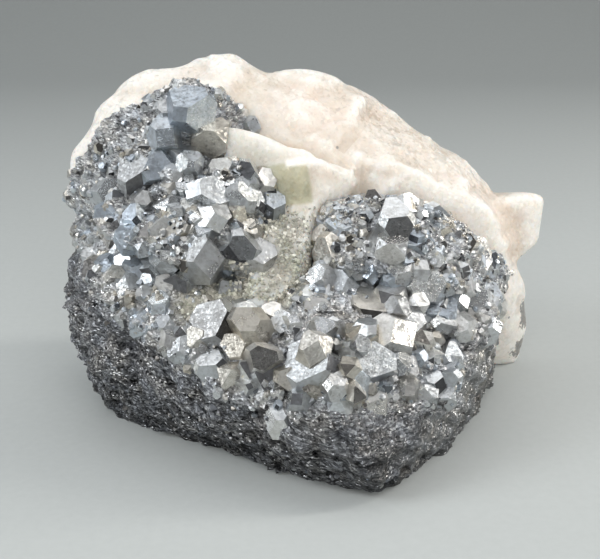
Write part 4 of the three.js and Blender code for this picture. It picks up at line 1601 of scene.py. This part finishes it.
# %% Tones of the calcite
CLOUDS = [(0.30, (0.79, 0.76, 0.70)), (0.50, (0.78, 0.73, 0.67)), (0.70, (0.81, 0.79, 0.75))]
CLOUD_SIZE = 9.0
VEIL = [(0.35, (0.94, 0.925, 0.91)), (0.60, WHITE)]
VEIL_SIZE = 2.4
DOMAINS = [(0.0, (0.89, 0.855, 0.82)), (0.4, (0.97, 0.955, 0.935)), (1.0, WHITE)]
DOMAIN_SIZE = 5.5
# Stains of the zones: how strong, and which colour.
PINK_STAIN = (0.75, (0.82, 0.74, 0.67, 1))
GREY_STAIN = (0.75, (0.70, 0.69, 0.63, 1))
SAND_STAIN = (0.7, (0.52, 0.49, 0.42, 1))
CLEAR_STAIN = (0.9, (0.48, 0.46, 0.33, 1))
STEP_STAIN = (0.8, (0.95, 0.94, 0.92, 1))
# Painted shade in the calcite's hollows.
CALCITE_HOLLOW_SHADE = [(0.15, (0.95, 0.92, 0.89)), (0.5, WHITE)]
BRUISED = [(0.52, BLACK), (0.95, (0.7, 0.7, 0.7))]
BRUISE = (0.86, 0.84, 0.80, 1)
# Sugary grains of random tone; the brightest, lifted past white, are painted glints.
SUGAR_AND_GLINTS = [(0.0, (0.86, 0.85, 0.83)), (0.25, WHITE), (0.85, WHITE), (1.0, (1.16, 1.16, 1.16))]
SUGAR_SHARE = 0.6
SPECKS_PER_METRE = 150.0
SPECKED = [(0.03, WHITE), (0.05, BLACK)]
SPECK = (0.36, 0.35, 0.33, 1)
PATCHED = [(0.62, BLACK), (0.80, (0.85, 0.85, 0.85))]
PATCH_RAGGEDNESS = 0.5
PATCH = (0.17, 0.17, 0.165, 1)

# %% Calcite finish
SUGAR_GRAINS = (0.5, 0.5)
CLEAVAGE_STEPS = (1.5, 0.18)
CALCITE_ROUGHNESS = (0.30, 0.70)
CALCITE_LIGHT = {
    "Subsurface Weight": 0.85, "Subsurface Radius": (1.0, 0.8, 0.65),
    "Subsurface Scale": 3.5 * MM, "IOR": 1.58,
}

calcite_finish, tree, shader, position = new_finish("milky_calcite")
pink, grey, sandy = attribute_parts(tree, "zones")
proudness, clear, step = attribute_parts(tree, "marks")
caught, _, _ = attribute_parts(tree, "caught")
domain, _, _ = split(tree, place_facets(tree, position, DOMAIN_SIZE, 0.0)[1])
sugar, random = place_facets(tree, position, *SUGAR_GRAINS)
first, second, _ = split(tree, random)
base = add_ramp(tree, place_mottling(tree, position, CLOUD_SIZE), CLOUDS)
base = tinted(tree, base, add_ramp(tree, place_mottling(tree, position, VEIL_SIZE), VEIL))
base = tinted(tree, base, add_ramp(tree, domain, DOMAINS))
for share, (strength, colour) in ((pink, PINK_STAIN), (grey, GREY_STAIN), (sandy, SAND_STAIN)):
    base = mix_colours(tree, math_node(tree, "MULTIPLY", share, strength), base, colour)
# Painted shade: points lower than the form round them are darkened.
base = tinted(tree, base, add_ramp(tree, proudness, CALCITE_HOLLOW_SHADE))
base = mix_colours(tree, add_ramp(tree, proudness, BRUISED), base, BRUISE)
for share, (strength, colour) in ((clear, CLEAR_STAIN), (step, STEP_STAIN)):
    base = mix_colours(tree, math_node(tree, "MULTIPLY", share, strength), base, colour)
base = tinted(tree, base, add_ramp(tree, second, SUGAR_AND_GLINTS), SUGAR_SHARE)
specks = add_node(tree, "ShaderNodeTexVoronoi", {"Vector": position, "Scale": SPECKS_PER_METRE})
base = mix_colours(tree, add_ramp(tree, specks.outputs["Distance"], SPECKED), base, SPECK)
ragged = math_node(tree, "ADD", caught, math_node(tree, "MULTIPLY", first, PATCH_RAGGEDNESS))
base = mix_colours(tree, add_ramp(tree, ragged, PATCHED), base, PATCH)
tree.links.new(base, shader.inputs["Base Color"])
for socket, value in CALCITE_LIGHT.items():
    shader.inputs[socket].default_value = value
cleavage, random = place_facets(tree, position, *CLEAVAGE_STEPS)
glint, _, _ = split(tree, random)
tree.links.new(remap(tree, glint, *CALCITE_ROUGHNESS), shader.inputs["Roughness"])
grain_bump(tree, shader, [cleavage, sugar])

# %% [markdown]
# ## Sand and paper
# Each rhomb of the sand takes one tone, from grey-green to nearly white, because clear and cloudy
# grains lie mixed. The paper under the stone is a plain grey that darkens towards the back, as a
# sheet does where the lamps no longer reach it.

# %% Druse finish
SAND_TONES = [
    (0.0, (0.27, 0.265, 0.235)), (0.45, (0.47, 0.455, 0.40)), (0.8, (0.68, 0.65, 0.58)),
    (1.0, (0.90, 0.88, 0.82)),
]
SAND_CLOUDS = [(0.35, (0.80, 0.84, 0.78)), (0.65, WHITE)]
SAND_CLOUD_SIZE = 4.0
SAND_ROUGHNESS = (0.18, 0.5)
SAND_GRAINS = (0.4, 0.2)

druse_finish, tree, shader, position = new_finish("druse_rhombs")
tone, dull, _ = attribute_parts(tree, "tint")
clouds = add_ramp(tree, place_mottling(tree, position, SAND_CLOUD_SIZE), SAND_CLOUDS)
tree.links.new(tinted(tree, add_ramp(tree, tone, SAND_TONES), clouds), shader.inputs["Base Color"])
tree.links.new(remap(tree, dull, *SAND_ROUGHNESS), shader.inputs["Roughness"])
grain_bump(tree, shader, [place_facets(tree, position, *SAND_GRAINS)[0]])

# %% Floor finish
PAPER = [(0.3, (0.45, 0.475, 0.47)), (0.7, (0.47, 0.495, 0.49))]
FIBRE_SIZE = 1.5
FAR_PAPER = 0.66
PAPER_DARKENS = (50 * MM, 450 * MM)
PAPER_ROUGHNESS = 0.75

floor_finish, tree, shader, position = new_finish("grey_paper")
paper = add_ramp(tree, place_mottling(tree, position, FIBRE_SIZE), PAPER)
depth = add_node(tree, "ShaderNodeSeparateXYZ", {"Vector": position}).outputs["Y"]
paper = tinted(tree, paper, remap(tree, depth, 1.0, FAR_PAPER, *PAPER_DARKENS))
tree.links.new(paper, shader.inputs["Base Color"])
shader.inputs["Roughness"].default_value = PAPER_ROUGHNESS
sweep.data.materials.append(floor_finish)

# %% [markdown]
# ## Put the stone together
# Each piece takes its finish and rides on the stone's one body. The crust and rock stand for the
# ore solid, and the mass and druse for the calcite one, so the plain solids are hidden.

# %% Assign finishes and ride
for piece, finish, slot in (
        (ore_rock, ore_finish, "skutterudite"), (crystals, crystal_metal, "skutterudite"),
        (small_crystals, crystal_metal, "skutterudite"), (fine_crust, crystal_metal, "skutterudite"),
        (flank_glints, flank_metal, "skutterudite"), (calcite_mass, calcite_finish, "calcite"),
        (druse, druse_finish, "calcite")):
    piece.data.materials.append(finish)
    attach(piece, "root")
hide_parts("skutterudite")
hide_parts("calcite")
